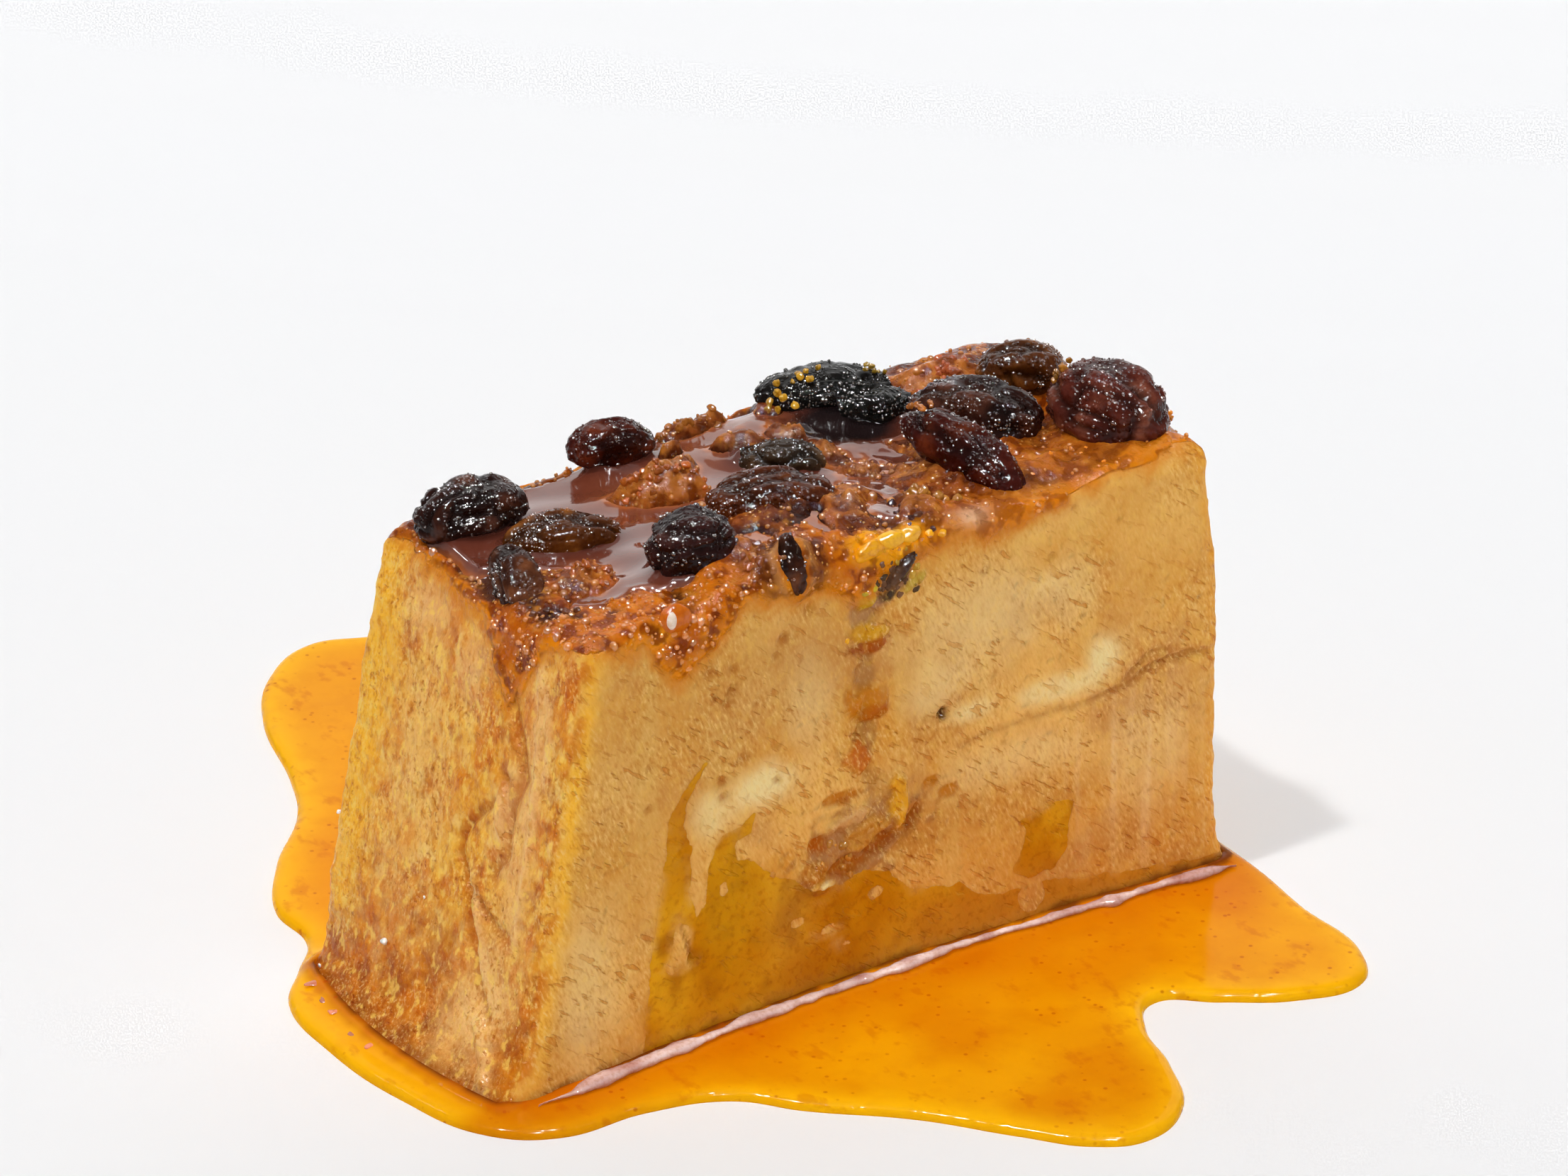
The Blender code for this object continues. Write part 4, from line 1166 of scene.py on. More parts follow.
def make_beads(material, surface, frames):
    """Small glossy beads of syrup over the crust and its rim."""
    points, normals, shares, layers, crust = surface
    front, _, left, right, top = shares
    random = np.random.default_rng(22)
    x, y, z = points.T
    crusty = layers["crust"] > 1.6
    free = raisin_reach(x, y, z, frames) > 0.15
    dry = (top < 0.5) | (pool_inside(x, y) < 0.1)
    weight = crusty * free * dry * (0.25 + 0.8 * front + 0.6 * left + 0.6 * top + 0.3 * right)
    weight = weight * (1 + 2.0 * bump_at(x, y, (-34.0, -16.0), (14.0, 8.0)))
    weight = weight * (1 - 0.7 * np.clip(crust_calm(x, y), 0, 1))
    chosen = random.choice(len(points), BEAD_COUNT, replace=False, p=weight / weight.sum())
    size = drop_sizes(random, BEAD_COUNT, *BEAD_SIZE)
    jitter = random.uniform(-0.25, 0.25, (BEAD_COUNT, 3))
    centres = points[chosen] + jitter - normals[chosen] * (0.3 * size)[:, None]
    halves = size[:, None] * random.uniform(0.8, 1.2, (BEAD_COUNT, 3))
    shade = random.uniform(0.8, 1.2, (BEAD_COUNT, 1))
    colors = (0.45 * crust[chosen] + 0.55 * rgb(232, 150, 48)) * shade
    scatter("syrup_beads", centres, halves, colors, material, "sauce", BALL_COARSE, 0.08, 32)


def make_drops(material):
    """A smooth drip of syrup that runs over the front edge, and on it a pale drop that is a painted
    highlight.
    """
    centres = np.array([drop[0] for drop in DROPS])
    halves = np.array([drop[1] for drop in DROPS])
    colors = np.array([rgb(*drop[2]) for drop in DROPS])
    scatter("syrup_drops", centres, halves, colors, material, "sauce", BALL_FINE + 1, 0.09, 33)


def make_specks(salt, syrup):
    """Grains of salt and reddish flakes on the left end."""
    random = np.random.default_rng(23)
    y, z, size = np.array(SALT_GRAINS).T
    centres = np.stack([left_side(y, z) - 0.1, y, z], axis=1)
    halves = size[:, None] * random.uniform(0.35, 0.6, (len(y), 3))
    white = plain((250, 248, 244), len(y))
    scatter("salt_grains", centres, halves, white, salt, "pudding", BALL_COARSE, 0.6, 34)
    y, z = np.array(FLAKES).T
    centres = np.stack([left_side(y, 0 * z) - 0.8, y, z + 0.6], axis=1)
    halves = np.array((0.9, 0.7, 0.16)) * random.uniform(0.6, 1.2, (len(y), 3))
    colors = varied((206, 126, 96), len(y), random)
    scatter("crust_flakes", centres, halves, colors, syrup, "pudding", BALL_FINE, 0.5, 35)


MENISCUS_HALF = (1.35, 0.80)  # half width and half height of the bead of syrup along the front
MENISCUS_STEPS = (420, 14)
MENISCUS_ENDS = (-52.5, 54.5)  # X of its two ends


def make_meniscus(material):
    """The bead of syrup that stands along the foot of the front face, coloured pale pink-white as a
    painted highlight.
    """
    steps, sides = MENISCUS_STEPS
    x = np.linspace(*MENISCUS_ENDS, steps)
    flat = np.stack([x, 0 * x, 0 * x], axis=1)
    y = front_face(x, 0) - 1.25 + 0.22 * noise(flat, 4.0, 601) + 0.10 * noise(flat, 1.3, 602)
    z = SAUCE_DEPTH + 0.42 + 0.10 * noise(flat, 5.0, 603)
    way = np.linspace(0, 1, steps)
    taper = 0.08 + 0.92 * ramp(0.0, 0.06, way) * ramp(1.0, 0.97, way)
    width = (0.75 + 0.35 * noise(flat, 6.0, 604) + 0.15 * noise(flat, 1.7, 605)) * taper
    angle = np.linspace(0, 2 * math.pi, sides, endpoint=False)
    half_width, half_height = MENISCUS_HALF
    ring_y = y[:, None] + half_width * width[:, None] * np.cos(angle)
    ring_z = z[:, None] + half_height * width[:, None] * np.sin(angle) - 0.2 * np.cos(angle)
    points = np.stack([np.repeat(x[:, None], sides, axis=1), ring_y, ring_z], axis=2).reshape(-1, 3)
    ends = np.stack([points[:sides].mean(axis=0), points[-sides:].mean(axis=0)])
    quads = grid_quads(steps, sides, closed=True)
    start, end, last = steps * sides, steps * sides + 1, (steps - 1) * sides
    caps = [(start, i, (i + 1) % sides) for i in range(sides)]
    caps += [(end, last + (i + 1) % sides, last + i) for i in range(sides)]
    points = np.concatenate([points, ends])
    # a painted highlight: the bead is pale pink-white, mottled with mauve
    shade = 0.45 + 0.7 * noise(points, 2.4, 606)
    tone = blend(plain((250, 230, 226), len(points)), rgb(190, 140, 132), shade)
    piece = add_mesh("syrup_meniscus", points, [*quads[:, ::-1], *caps], tone, None, [material])
    finish_piece(piece, "sauce")


# ---------------------------------------------------------------- the pools' surface

def glaze_grid():
    """Places over the crust, a little inside the slice's sides, and how near each is to the rim."""
    rows, columns = GLAZE_CELLS
    along, across = np.meshgrid(np.linspace(0, 1, rows), np.linspace(0, 1, columns), indexing="ij")
    along, across = along.ravel(), across.ravel()
    y = FRONT_CORNER + (BACK_CORNER - FRONT_CORNER) * across
    low = left_side(y, LEFT_HEIGHT - 2) + GLAZE_INSET
    x = low + (right_side(y, LEFT_HEIGHT) - GLAZE_INSET - low) * along
    low = front_face(x, LEFT_HEIGHT) + GLAZE_INSET
    y = low + (back_face(x) - GLAZE_INSET - low) * across
    from_ends = np.minimum(along, 1 - along) * rows
    from_sides = np.minimum(across, 1 - across) * columns
    return x, y, np.minimum(from_ends, from_sides)


def make_glaze(material, frames):
    """The pools: a thin slab that the crust's relief, its lumps and the raisins rise through."""
    rows, columns = GLAZE_CELLS
    x, y, from_rim = glaze_grid()
    flat = on_plane(x, y)
    pool = pool_inside(x, y)
    level = pool_level(x, y)
    near = np.maximum(raisin_reach(x, y, level, frames), 0)
    shore = crust_height(x, y) + crust_relief(x, y)
    climb = MENISCUS_RISE * np.exp(-near / MENISCUS_REACH)
    edge = 0.40 * np.exp(-np.abs(pool + 0.1) / 0.5)
    z = level + climb + edge + 0.05 * noise(flat, 5.0, 301)
    z = z - 2.4 * np.maximum(ramp(0.4, -1.6, pool), ramp(5.0, 0.0, from_rim))
    number = np.arange(len(x)).reshape(rows, columns)
    rim = np.concatenate([number[:-1, 0], number[-1, :-1], number[:0:-1, -1], number[0, :0:-1]])
    below = len(x) + np.arange(len(rim))
    wall = np.stack([rim, below, np.roll(below, -1), np.roll(rim, -1)], axis=1)
    under = np.stack([x[rim], y[rim], np.full(len(rim), LEFT_HEIGHT - GLAZE_SINK)], axis=1)
    points = np.concatenate([np.stack([x, y, z], axis=1), under])
    depth = z - shore
    tone = blend(plain((176, 96, 44), len(x)), rgb(132, 70, 46), ramp(0.1, 0.8, depth))
    tone = blend(tone, rgb(112, 56, 40), ramp(0.8, 1.6, depth))
    # painted shade: the syrup darkens beside the raisins
    tone = blend(tone, rgb(74, 38, 32), 0.7 * np.exp(-near / 0.9))
    ink = bump_at(x, y, (17.0, 10.0), (8.0, 5.0), -25)
    tone = blend(tone, rgb(22, 20, 22), 0.95 * ramp(0.25, 0.7, ink))
    tone = np.concatenate([tone, tone[rim]])
    quads = np.concatenate([grid_quads(rows, columns), wall])[:, ::-1]
    piece = add_mesh("syrup_pools", points, [*quads, below], tone, None, [material])
    finish_piece(piece, "sauce")


# ---------------------------------------------------------------- raisins

def valleys(points, size, seed, sharp):
    """Narrow folds between rounded lobes: 1 in a fold and 0 on the lobes."""
    return np.exp(-(noise(points, size, seed) / sharp) ** 2)


def make_raisin(index, raisin, frame, material):
    """A wrinkled raisin in its CAD node's place; returns its points, their shares and colours."""
    rows, columns = RAISIN_GRID
    middle, half, turn = frame
    angle, around = np.meshgrid(
        np.linspace(0.0, math.pi, rows + 2)[1:-1],
        np.linspace(0.0, 2 * math.pi, columns, endpoint=False), indexing="ij",
    )
    angle, around = angle.ravel(), around.ravel()
    girth = np.sin(angle)
    unit = np.stack([-np.cos(angle), girth * np.sin(around), girth * np.cos(around)], axis=1)
    unit = np.concatenate([unit, [(-1.0, 0.0, 0.0), (1.0, 0.0, 0.0)]])
    along = unit[:, 0]
    around = np.concatenate([around, [0.0, 0.0]])
    fold = 0.5 + 0.5 * np.cos(raisin.folds * around + FOLD_TWIST * along)
    slim = 1 - FOLD_DEPTH * fold * (1 - along ** 2)
    shape = unit * half
    shape[:, 1:] *= slim[:, None]
    shape[:, 2] -= raisin.bend * along ** 2
    seed = 400 + 17 * index
    warp = np.stack([noise(shape, 3.2, seed + axis) for axis in range(3)], axis=1)
    warped = shape + 1.2 * warp
    deep = valleys(warped, (7.0, 3.0, 3.0), seed + 3, 0.22)
    middling = valleys(warped, (3.8, 1.5, 1.5), seed + 4, 0.24)
    bead, _ = cells(warped, 0.95, seed + 5)
    beaded = ramp(-0.2, 0.5, noise(shape, 3.0, seed + 6))
    inward = 0.55 * deep + 0.24 * middling + 0.32 * beaded * (bead - 0.5) - 0.12
    inward = inward * min(1.0, half.min() / 2.6)
    direction = unit / half
    direction /= np.linalg.norm(direction, axis=1)[:, None]
    shape = shape - direction * inward[:, None]
    body = np.arange(rows * columns).reshape(rows, columns)
    quads = grid_quads(rows, columns, closed=True)
    start, end = rows * columns, rows * columns + 1
    first = [(start, body[0, (i + 1) % columns], body[0, i]) for i in range(columns)]
    last = [(end, body[-1, i], body[-1, (i + 1) % columns]) for i in range(columns)]
    points = shape @ turn.T + middle
    skin, light = RAISIN_LOOKS[raisin.look]
    lighter = 0.75 * ramp(-0.1, 0.9, layered(points, 3.0, seed + 8))
    tone = blend(plain(skin, len(points)), rgb(*light), lighter)
    # painted shade: darker in the folds
    tone = tone * (1 - 0.7 * np.clip(deep + 0.4 * middling, 0, 1))[:, None]
    name = raisin.name + "_skin"
    piece = add_mesh(name, points, [*quads, *first, *last], tone, None, [material])
    finish_piece(piece, "raisin", raisin.name)
    return points, np.append(girth, [0.0, 0.0]), tone


def make_raisin_beads(material, skins):
    """Tiny drops of syrup that make the raisins glitter."""
    random = np.random.default_rng(24)
    centres, colors = [], []
    for points, share, tone in skins:
        low, high = points.min(axis=0), points.max(axis=0)
        upper = ramp(0.15, 0.6, (points[:, 2] - low[2]) / (high[2] - low[2]))
        weight = share * upper * (0.1 + ramp(-0.2, 0.5, noise(points, 3.0, 801)))
        count = int(RAISIN_BEADS * (high[0] - low[0]) * (high[1] - low[1]))
        chosen = random.choice(len(points), count, replace=False, p=weight / weight.sum())
        centres.append(points[chosen])
        colors.append(tone[chosen] * 1.5 + rgb(34, 22, 10))
    centres, colors = np.concatenate(centres), np.concatenate(colors)
    size = drop_sizes(random, len(centres), *RAISIN_BEAD_SIZE)
    halves = size[:, None] * random.uniform(0.85, 1.15, (len(centres), 3))
    scatter("raisin_beads", centres, halves, colors, material, "raisin", BALL_TINY, 0.05, 37)


# ---------------------------------------------------------------- the sauce on the table

RIM_STEPS = (0.06, 0.18, 0.38, 0.68, 1.1, 1.7, 2.6)
RIM_START = 0.12  # height of the rim's upright foot
CLIMB_STEPS = (0.15, 0.5, 0.9, 1.4, 2.1)
SAUCE_STEP = 1.4
SAUCE_BEAD = 1.5
SAUCE_CLIMB, SAUCE_CLIMB_REACH = 0.9, 0.8
SAUCE_UNDER = 0.9  # how far the sauce reaches in under the slice's skin


def smooth_outline(knots, steps):
    """Points of the closed curve that Blender draws through knots with automatic handles."""
    curve = bpy.data.curves.new("outline", "CURVE")
    curve.dimensions = "2D"
    curve.resolution_u = steps
    spline = curve.splines.new("BEZIER")
    spline.bezier_points.add(len(knots) - 1)
    for knot, (x, y) in zip(spline.bezier_points, knots):
        knot.co = Vector((x, y, 0.0))
        knot.handle_left_type = knot.handle_right_type = "AUTO"
    spline.use_cyclic_u = True
    holder = bpy.data.objects.new("outline", curve)
    bpy.context.scene.collection.objects.link(holder)
    mesh = bpy.data.meshes.new_from_object(holder.evaluated_get(bpy.context.evaluated_depsgraph_get()))
    line = np.array([vertex.co[:2] for vertex in mesh.vertices])
    bpy.data.objects.remove(holder)
    bpy.data.meshes.remove(mesh)
    return line


def outline_normals(line):
    """Directions out of a closed line, and whether it runs anticlockwise."""
    way = np.roll(line, -1, axis=0) - np.roll(line, 1, axis=0)
    way /= np.linalg.norm(way, axis=1)[:, None]
    after = np.roll(line, -1, axis=0)
    area = np.sum(line[:, 0] * after[:, 1] - after[:, 0] * line[:, 1])
    return np.stack([way[:, 1], -way[:, 0]], axis=1) * math.copysign(1, area)


def slice_base(count=130):
    """The slice's outline on the table, anticlockwise."""
    side = np.linspace(-1, 1, count, endpoint=False)
    one = np.ones(count)
    along = np.concatenate([side, one, -side, -one])
    across = np.concatenate([-one, side, one, -side])
    return slice_points(along, across, np.zeros(4 * count))[:, :2]


def sauce_height(from_rim, from_slice):
    """Height of the sauce's surface: a bead along its rim and a climb against the slice."""
    share = np.clip(from_rim / SAUCE_BEAD, 0, 1)
    bead = RIM_START + (SAUCE_DEPTH - RIM_START) * np.sqrt(1 - (1 - share) ** 2)
    climb = SAUCE_CLIMB * np.exp(-np.maximum(from_slice, 0) / SAUCE_CLIMB_REACH)
    return bead + climb * ramp(0.0, 2.0, from_rim)


def sauce_tone(x, y, from_rim, from_slice):
    """Amber, paler along the rim, browner beside the slice and dark where it touches it."""
    flat = on_plane(x, y)
    mottle = layered(flat, 12.0, 501)
    tone = blend(plain((222, 134, 1), len(x)), rgb(236, 158, 4), 0.5 + mottle)
    tone = blend(tone, rgb(234, 154, 20), 0.7 * ramp(28.0, 60.0, y))
    # paler where the sauce thins at its rim, partly a painted glow of light through it
    tone = blend(tone, rgb(255, 194, 14), 0.6 * np.exp(-(from_rim / 3.4) ** 2))
    near_front = ramp(16.0, 1.0, from_slice) * ramp(-19.0, -24.0, y)
    tone = blend(tone, rgb(204, 106, 1), 0.75 * near_front)
    at_left = ramp(-40.0, -50.0, x)
    contact = from_slice + 1.1 * at_left + 0.3 * noise(flat, 1.8, 502)
    tone = blend(tone, rgb(190, 88, 4), 0.85 * ramp(2.6, 0.4, contact) * (0.4 + 0.6 * at_left))
    return blend(tone, rgb(96, 36, 8), 0.85 * ramp(0.6, 0.1, contact))


def make_sauce(material):
    """The pool of sauce around the slice's foot."""
    outer = smooth_outline(SAUCE_OUTLINE, 12)
    base = slice_base()
    outward, away = outline_normals(outer), outline_normals(base)
    inner = base - away * SAUCE_UNDER
    xs = np.arange(outer[:, 0].min(), outer[:, 0].max(), SAUCE_STEP)
    ys = np.arange(outer[:, 1].min(), outer[:, 1].max(), SAUCE_STEP)
    grid = np.stack([axis.ravel() for axis in np.meshgrid(xs, ys, indexing="ij")], axis=1)
    loose = [outer - outward * step for step in RIM_STEPS]
    loose += [base + away * step for step in CLIMB_STEPS]
    loose = np.concatenate([*loose, grid])
    slice_line = [tuple(point) for point in base[::2]]
    sauce_line = [tuple(point) for point in outer]
    from_rim = inside_distance(*loose.T, sauce_line)
    from_slice = -inside_distance(*loose.T, slice_line)
    loose = loose[(from_rim > 0.04) & (from_slice > 0.05)]
    flat = np.concatenate([outer, inner, loose])
    loops = []
    for first, count in ((0, len(outer)), (len(outer), len(inner))):
        loops += [(first + i, first + (i + 1) % count) for i in range(count)]
    found = delaunay_2d_cdt([Vector(point) for point in flat], loops, [], 0, 1e-5)
    flat = np.array([tuple(point) for point in found[0]])
    faces = np.array([tuple(face) for face in found[2]])
    middle = flat[faces].mean(axis=1)
    kept = (inside_distance(*middle.T, sauce_line) > 0)
    kept &= (inside_distance(*middle.T, [tuple(point) for point in inner]) < 0)
    faces = faces[kept]
    x, y = flat.T
    from_rim = np.maximum(inside_distance(x, y, sauce_line), 0)
    from_slice = -inside_distance(x, y, slice_line)
    z = sauce_height(from_rim, from_slice)
    count = len(flat)
    edges = np.concatenate([faces[:, [0, 1]], faces[:, [1, 2]], faces[:, [2, 0]]])
    keys = {tuple(edge) for edge in edges}
    border = [edge for edge in keys if (edge[1], edge[0]) not in keys]
    wall = [(b, a, a + count, b + count) for a, b in border]
    points = np.concatenate([np.stack([x, y, z], axis=1), np.stack([x, y, 0 * z], axis=1)])
    tone = sauce_tone(x, y, from_rim, from_slice)
    faces = [*faces, *(faces[:, ::-1] + count), *wall]
    piece = add_mesh("caramel_pool", points, faces, np.concatenate([tone, tone]), None, [material])
    finish_piece(piece, "sauce", "caramel_sauce")


# ---------------------------------------------------------------- materials

class Shader:
    """A material and short calls that add nodes to it; sizes are in mm."""

    def __init__(self, name, **settings):
        self.material = bpy.data.materials.new(name)
        self.material.use_nodes = True
        self.tree = self.material.node_tree
        self.surface = self.tree.nodes["Principled BSDF"]
        self.place = self.tree.nodes.new("ShaderNodeTexCoord").outputs["Object"]
        for key, value in settings.items():
            self.surface.inputs[key.replace("_", " ")].default_value = value

    def node(self, kind, inputs, **settings):
        """A node with its settings and inputs, each input a value or another node's output."""
        made = self.tree.nodes.new(kind)
        for key, value in settings.items():
            setattr(made, key, value)
        for key, value in inputs.items():
            if isinstance(value, bpy.types.NodeSocket):
                self.tree.links.new(value, made.inputs[key])
            else:
                made.inputs[key].default_value = value
        return made

    def painted(self, key):
        """A colour layer of the mesh."""
        return self.node("ShaderNodeAttribute", {}, attribute_name=key).outputs["Color"]

    def layer(self, key):
        """A number layer of the mesh."""
        return self.node("ShaderNodeAttribute", {}, attribute_name=key).outputs["Fac"]

    def stretched(self, scale, turn=(0.0, 0.0, 0.0)):
        """The place on the object, turned and with its axes scaled."""
        turned = self.node("ShaderNodeMapping", {"Vector": self.place, "Rotation": turn}).outputs[0]
        return self.node("ShaderNodeMapping", {"Vector": turned, "Scale": scale}).outputs[0]

    def noise(self, size, detail=3.0, place=None):
        """Cloudy values around a half."""
        inputs = {"Vector": place or self.place, "Scale": 1 / (size * MM), "Detail": detail}
        return self.node("ShaderNodeTexNoise", inputs).outputs["Fac"]

    def cells(self, size, place=None, output="Distance"):
        """Distance to the nearest of many scattered centres."""
        inputs = {"Vector": place or self.place, "Scale": 1 / (size * MM)}
        return self.node("ShaderNodeTexVoronoi", inputs).outputs[output]

    def beads(self, size, group):
        """Domes from 0 to 1 that come in groups."""
        dome = self.ramp(self.cells(size), 0.58, 0.0)
        grouped = self.ramp(self.noise(group, 2.0), 0.38, 0.60, 0.15, 1.0)
        return self.math("MULTIPLY", dome, grouped)

    def math(self, operation, first, second):
        """One sum, difference, product or other operation."""
        return self.node("ShaderNodeMath", {0: first, 1: second}, operation=operation).outputs[0]

    def times(self, first, second):
        """The product of two numbers."""
        return self.math("MULTIPLY", first, second)

    def ramp(self, value, low, high, start=0.0, end=1.0):
        """Ease from start at low to end at high."""
        inputs = {"Value": value, "From Min": low, "From Max": high, "To Min": start, "To Max": end}
        return self.node("ShaderNodeMapRange", inputs, interpolation_type="SMOOTHSTEP").outputs[0]

    def mix(self, amount, first, second, blend_type="MIX"):
        """Two colours mixed, or one multiplied into the other."""
        inputs = {0: amount, 6: first, 7: second}
        settings = {"data_type": "RGBA", "blend_type": blend_type}
        return self.node("ShaderNodeMix", inputs, **settings).outputs[2]

    def shaded(self, amount, color, *shade):
        """A colour multiplied by a shade, by an amount."""
        return self.mix(amount, color, (*shade, 1.0), "MULTIPLY")

    def bump(self, height, depth, normal=None):
        """A relief of a depth in mm where height runs from 0 to 1."""
        inputs = {"Height": height, "Distance": depth * MM, "Strength": 1.0}
        if normal is not None:
            inputs["Normal"] = normal
        return self.node("ShaderNodeBump", inputs).outputs[0]

    def finish(self, **links):
        """Link outputs to the surface and return the material."""
        for key, output in links.items():
            self.tree.links.new(output, self.surface.inputs[key.replace("_", " ")])
        return self.material


def slice_material():
    """Custard, syrup-soaked custard whose gold is partly a painted reflection of the sauce, with crisp
    borders, and a beaded, glossy baked crust with painted shade in its hollows.
    """
    shader = Shader(
        "baked_custard", Specular_IOR_Level=0.12,
        Subsurface_Weight=0.2, Subsurface_Radius=(1.0, 0.45, 0.12), Subsurface_Scale=0.0022,
    )
    slanted = shader.stretched((1.0, 1.0, 0.34), (0.0, math.radians(24.0), 0.0))
    tooth = shader.noise(0.36, 3.0, slanted)
    dashed = shader.stretched((1.0, 1.0, 0.26), (0.0, math.radians(52.0), 0.0))
    dash = shader.noise(0.8, 2.0, dashed)
    speck = shader.noise(1.1, 3.0, shader.stretched((1.0, 1.0, 0.6)))
    grainy = shader.layer("grainy")
    # custard: a fine slanted tooth that comes and goes, thin dashes, amber specks and pale curds
    rasped = shader.ramp(shader.noise(8.0, 2.0), 0.40, 0.60, 0.35, 1.0)
    color = shader.painted("tone")
    dark = shader.times(shader.ramp(tooth, 0.48, 0.72, 0.0, 1.0), rasped)
    color = shader.shaded(dark, color, 0.84, 0.68, 0.48)
    pale = shader.times(shader.ramp(tooth, 0.48, 0.30, 0.0, 0.6), rasped)
    color = shader.mix(pale, color, (*rgb(252, 214, 132), 1.0))
    nick = shader.times(shader.ramp(dash, 0.60, 0.67), rasped)
    color = shader.shaded(shader.times(nick, 0.8), color, 0.82, 0.58, 0.32)
    strength = shader.ramp(grainy, 0.0, 1.0, 0.2, 1.0)
    specks = shader.times(shader.ramp(speck, 0.52, 0.67, 0.0, 0.8), strength)
    color = shader.shaded(specks, color, 0.80, 0.57, 0.20)
    curds = shader.times(shader.ramp(speck, 0.46, 0.32, 0.0, 0.7), strength)
    color = shader.mix(curds, color, (*rgb(255, 210, 96), 1.0))
    # syrup-soaked custard, its colour partly a painted reflection of the amber sauce, crisp in some
    # places and soft in others
    ragged = shader.times(shader.noise(1.3, 3.0), 0.9)
    edge = shader.math("ADD", shader.layer("wet"), ragged)
    crisp = shader.ramp(shader.noise(6.0, 1.0), 0.34, 0.46)
    sharp = shader.times(shader.ramp(edge, 0.38, 0.56), crisp)
    hazy = shader.times(shader.ramp(edge, -0.7, 1.9), shader.math("SUBTRACT", 1.0, crisp))
    wet = shader.math("ADD", sharp, hazy)
    soak_and_reflection_color = shader.shaded(
        shader.ramp(shader.noise(0.9, 4.0), 0.48, 0.72, 0.0, 0.7), shader.painted("soak_and_reflection_tone"),
        0.76, 0.60, 0.40,
    )
    color = shader.mix(wet, color, soak_and_reflection_color)
    rim = shader.times(shader.ramp(edge, 0.15, 0.42), shader.ramp(edge, 0.62, 0.45))
    color = shader.shaded(shader.times(rim, 0.3), color, 0.80, 0.66, 0.50)
    # crust: an amber stain that fades into the custard, then clear syrup over brown lumps with painted
    # shade in the hollows between them
    crumbly = shader.times(shader.noise(1.2, 2.0), 1.6)
    height = shader.math("ADD", shader.layer("crust"), crumbly)
    stain = shader.ramp(height, -1.6, 2.0, 0.0, 0.85)
    color = shader.mix(stain, color, (*rgb(220, 132, 22), 1.0))
    crust = shader.ramp(height, 0.9, 2.6)
    lumpy = shader.noise(2.1, 1.8)
    bead = shader.times(shader.beads(0.8, 3.0), shader.layer("beaded"))
    baked = shader.painted("crust_tone")
    # painted shade: the crust darkens where its bump lies low
    hollow = shader.times(shader.ramp(lumpy, 0.53, 0.39, 0.0, 0.9), shader.layer("beaded"))
    baked = shader.shaded(hollow, baked, 0.40, 0.25, 0.11)
    baked = shader.mix(shader.ramp(lumpy, 0.57, 0.72, 0.0, 0.5), baked, (*rgb(220, 140, 46), 1.0))
    baked = shader.mix(shader.ramp(bead, 0.45, 0.9, 0.0, 0.6), baked, (*rgb(228, 164, 74), 1.0))
    color = shader.mix(crust, color, baked)
    rough = shader.ramp(wet, 0.0, 1.0, 0.42, 0.14)
    rough = shader.math("MINIMUM", rough, shader.ramp(crust, 0.0, 1.0, 0.42, 0.06))
    soaked = shader.ramp(shader.layer("soaked"), 0.0, 1.0, 0.42, 0.12)
    rough = shader.math("MINIMUM", rough, soaked)
    relief = shader.bump(shader.times(speck, strength), 0.30, shader.bump(tooth, 0.12))
    relief = shader.bump(shader.times(nick, -1.0), 0.16, relief)
    relief = shader.bump(shader.times(wet, 0.5), 0.12, relief)
    relief = shader.bump(shader.times(lumpy, crust), 0.4, relief)
    relief = shader.bump(shader.times(bead, crust), 0.16, relief)
    return shader.finish(Base_Color=color, Roughness=rough, Normal=relief)


def glaze_material():
    """Dark, clear-coated syrup."""
    shader = Shader("syrup_glaze", Roughness=0.10, Coat_Weight=1.0, Coat_Roughness=0.03)
    streaks = shader.ramp(shader.noise(3.0, 3.0), 0.4, 0.7, 0.0, 0.4)
    color = shader.shaded(streaks, shader.painted("tone"), 0.7, 0.6, 0.55)
    return shader.finish(Base_Color=color, Normal=shader.bump(shader.noise(2.2, 2.0), 0.04))


def raisin_material():
    """Dark fruit skin under clear syrup, with clusters of fine beads that glitter."""
    shader = Shader("raisin_skin", Specular_IOR_Level=0.16)
    fine = shader.noise(0.6, 3.0)
    bead = shader.beads(0.66, 2.4)
    color = shader.painted("tone")
    color = shader.shaded(shader.ramp(fine, 0.4, 0.7, 0.0, 0.6), color, 0.60, 0.46, 0.40)
    rough = shader.ramp(shader.noise(1.4, 2.0), 0.3, 0.7, 0.06, 0.14)
    relief = shader.bump(bead, 0.22, shader.bump(fine, 0.04))
    return shader.finish(Base_Color=color, Roughness=rough, Normal=relief)


def syrup_material():
    """Syrup drops and candied crumbs in the colour painted on them."""
    shader = Shader("candied_syrup", Roughness=0.12, Specular_IOR_Level=0.3)
    cloud = shader.noise(0.6, 3.0)
    shade = shader.ramp(cloud, 0.4, 0.7, 0.0, 0.5)
    color = shader.shaded(shade, shader.painted("tone"), 0.72, 0.5, 0.3)
    return shader.finish(Base_Color=color, Normal=shader.bump(cloud, 0.12))


def bead_material(name, index):
    """Beads of thick clear syrup that shine strongly; index is the refractive index."""
    shader = Shader(name, Roughness=0.06, IOR=index)
    color = shader.shaded(shader.noise(0.3, 1.0), shader.painted("tone"), 0.8, 0.7, 0.6)
    return shader.finish(Base_Color=color)


def salt_material():
    """White, slightly clear grains of salt."""
    shader = Shader("salt", Roughness=0.25, Subsurface_Weight=0.3, Subsurface_Scale=0.001)
    color = shader.mix(shader.noise(0.3), (*rgb(250, 248, 244), 1.0), (*rgb(226, 222, 216), 1.0))
    return shader.finish(Base_Color=color)


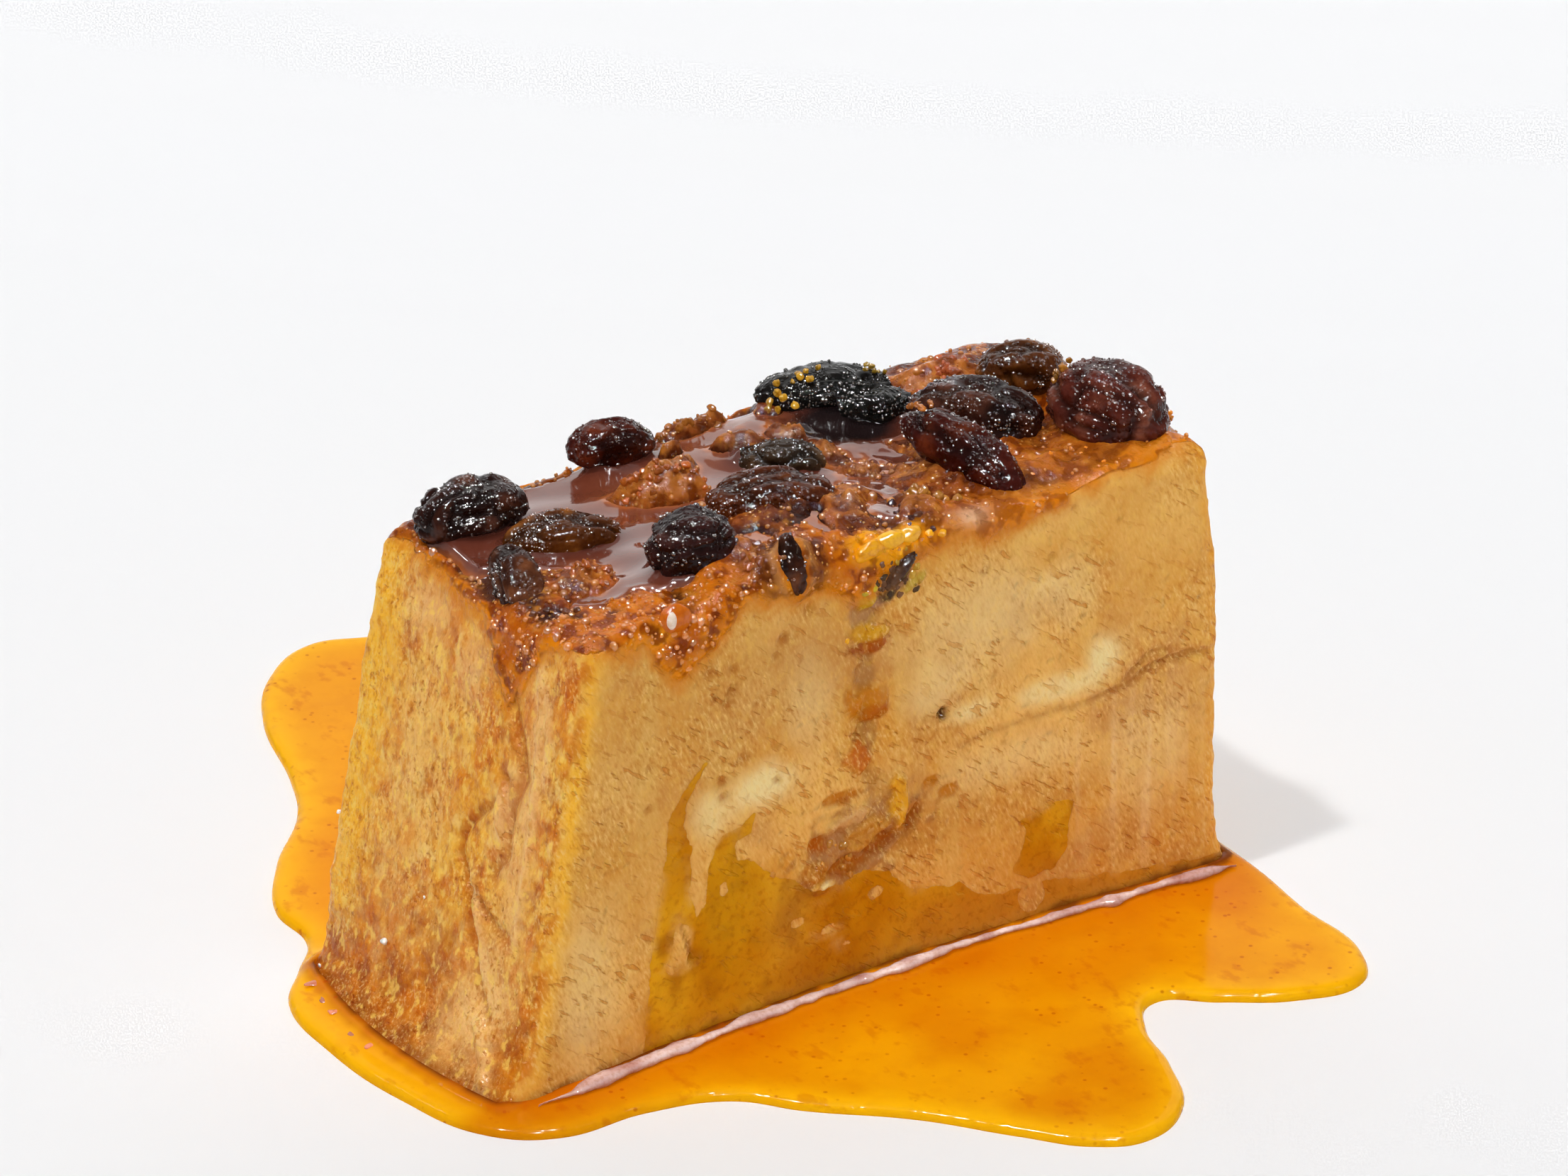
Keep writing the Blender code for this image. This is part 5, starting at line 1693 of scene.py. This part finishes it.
def sauce_material():
    """Thin amber caramel with tiny brown specks."""
    shader = Shader("caramel_sauce", Roughness=0.12, Specular_IOR_Level=0.04)
    cloud = shader.ramp(shader.noise(4.0, 3.0), 0.4, 0.75, 0.0, 0.4)
    color = shader.shaded(cloud, shader.painted("tone"), 0.88, 0.74, 0.6)
    streak = shader.ramp(shader.noise(2.4, 4.0, shader.stretched((1.0, 0.6, 1.0))), 0.56, 0.70)
    color = shader.mix(shader.times(streak, 0.35), color, (*rgb(196, 86, 4), 1.0))
    speck = shader.cells(1.7)
    rare = shader.ramp(shader.noise(8.0, 2.0), 0.40, 0.58)
    dot = shader.times(shader.ramp(speck, 0.22, 0.10), rare)
    color = shader.mix(shader.times(dot, 0.6), color, (*rgb(184, 72, 2), 1.0))
    return shader.finish(Base_Color=color, Normal=shader.bump(shader.noise(7.0, 2.0), 0.12))


# ---------------------------------------------------------------- the set

def direction_to(azimuth, elevation):
    """The direction from the slice to a camera or light; azimuth 0 is on the side of -Y."""
    turn, height = math.radians(azimuth), math.radians(elevation)
    return Vector((
        math.sin(turn) * math.cos(height), -math.cos(turn) * math.cos(height), math.sin(height),
    ))


def add_camera():
    """The camera at the photograph's angle, aimed a little above the slice's middle."""
    back = direction_to(AZIMUTH, ELEVATION)
    right = direction_to(AZIMUTH + 90, 0.0)
    up = back.cross(right)
    place = Vector(TARGET) + back * DISTANCE
    aim = Vector(TARGET) + up * AIM_UP + right * AIM_RIGHT
    data = bpy.data.cameras.new("camera")
    data.sensor_width = SENSOR
    data.lens = LENS
    camera = bpy.data.objects.new("camera", data)
    camera.location = place * MM
    camera.rotation_euler = (aim - place).to_track_quat("-Z", "Y").to_euler()
    bpy.context.scene.collection.objects.link(camera)
    bpy.context.scene.camera = camera


def add_sun(name, azimuth, elevation, strength, angle, highlights=False):
    """A far light; azimuth 0 shines along +Y and 90 along -X; it may show only as highlights."""
    data = bpy.data.lights.new(name, "SUN")
    data.energy = strength
    data.angle = math.radians(angle)
    sun = bpy.data.objects.new(name, data)
    sun.rotation_euler = direction_to(azimuth, elevation).to_track_quat("Z", "Y").to_euler()
    sun.visible_diffuse = not highlights
    bpy.context.scene.collection.objects.link(sun)
    return data


def add_panel(name, azimuth, elevation, distance, width, height, radiance):
    """A soft rectangular light that faces the slice and doesn't show itself."""
    data = bpy.data.lights.new(name, "AREA")
    data.shape = "RECTANGLE"
    data.size, data.size_y = width * MM, height * MM
    data.energy = radiance * math.pi * data.size * data.size_y
    panel = bpy.data.objects.new(name, data)
    toward = direction_to(azimuth, elevation)
    panel.location = toward * distance * MM
    panel.rotation_euler = toward.to_track_quat("Z", "Y").to_euler()
    panel.visible_camera = False
    bpy.context.scene.collection.objects.link(panel)


def add_light():
    """Pale surroundings, a small bright light on the left, soft panels and weak highlights."""
    world = bpy.data.worlds.new("surroundings")
    world.use_nodes = True
    background = world.node_tree.nodes["Background"]
    background.inputs["Color"].default_value = (*WORLD_COLOR, 1.0)
    background.inputs["Strength"].default_value = WORLD_STRENGTH
    bpy.context.scene.world = world
    add_sun("key", -90.0, SUN_ELEVATION, SUN_STRENGTH, SUN_ANGLE)
    for index, (azimuth, elevation, strength) in enumerate(FILLS):
        add_sun(f"fill_{index}", azimuth, elevation, strength, FILL_ANGLE).use_shadow = False
    for index, panel in enumerate(PANELS):
        add_panel(f"panel_{index}", *panel)
    for index, (azimuth, elevation, strength) in enumerate(SPARKLES):
        add_sun(f"sparkle_{index}", azimuth, elevation, strength, SPARKLE_ANGLE, highlights=True)


def add_floor():
    """A plain pale floor."""
    half = FLOOR_HALF
    corners = np.array([(-half, -half), (half, -half), (half, half), (-half, half)])
    corners = np.column_stack([corners, np.full(4, FLOOR_LEVEL)])
    shader = Shader("floor", Base_Color=FLOOR_COLOR, Roughness=0.9, Specular_IOR_Level=0.0)
    floor = add_mesh("floor", corners, np.array([(0, 1, 2, 3)]), None, None, [shader.finish()])


def main():
    """Build the looks around the CAD frame."""
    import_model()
    bpy.context.scene.view_settings.view_transform = "Standard"
    add_camera()
    add_light()
    add_floor()
    frames = raisin_frames()
    syrup = syrup_material()
    surface = make_slice([slice_material()], frames)
    make_glaze(glaze_material(), frames)
    make_crumbs(syrup, frames)
    make_beads(bead_material("crust_bead", CRUST_BEAD_INDEX), surface, frames)
    make_drops(syrup)
    make_specks(salt_material(), syrup)
    make_meniscus(syrup)
    skin = raisin_material()
    skins = [
        make_raisin(index, raisin, frame, skin)
        for index, (raisin, frame) in enumerate(zip(RAISINS, frames))
    ]
    make_raisin_beads(bead_material("raisin_bead", RAISIN_BEAD_INDEX), skins)
    make_sauce(sauce_material())


main()
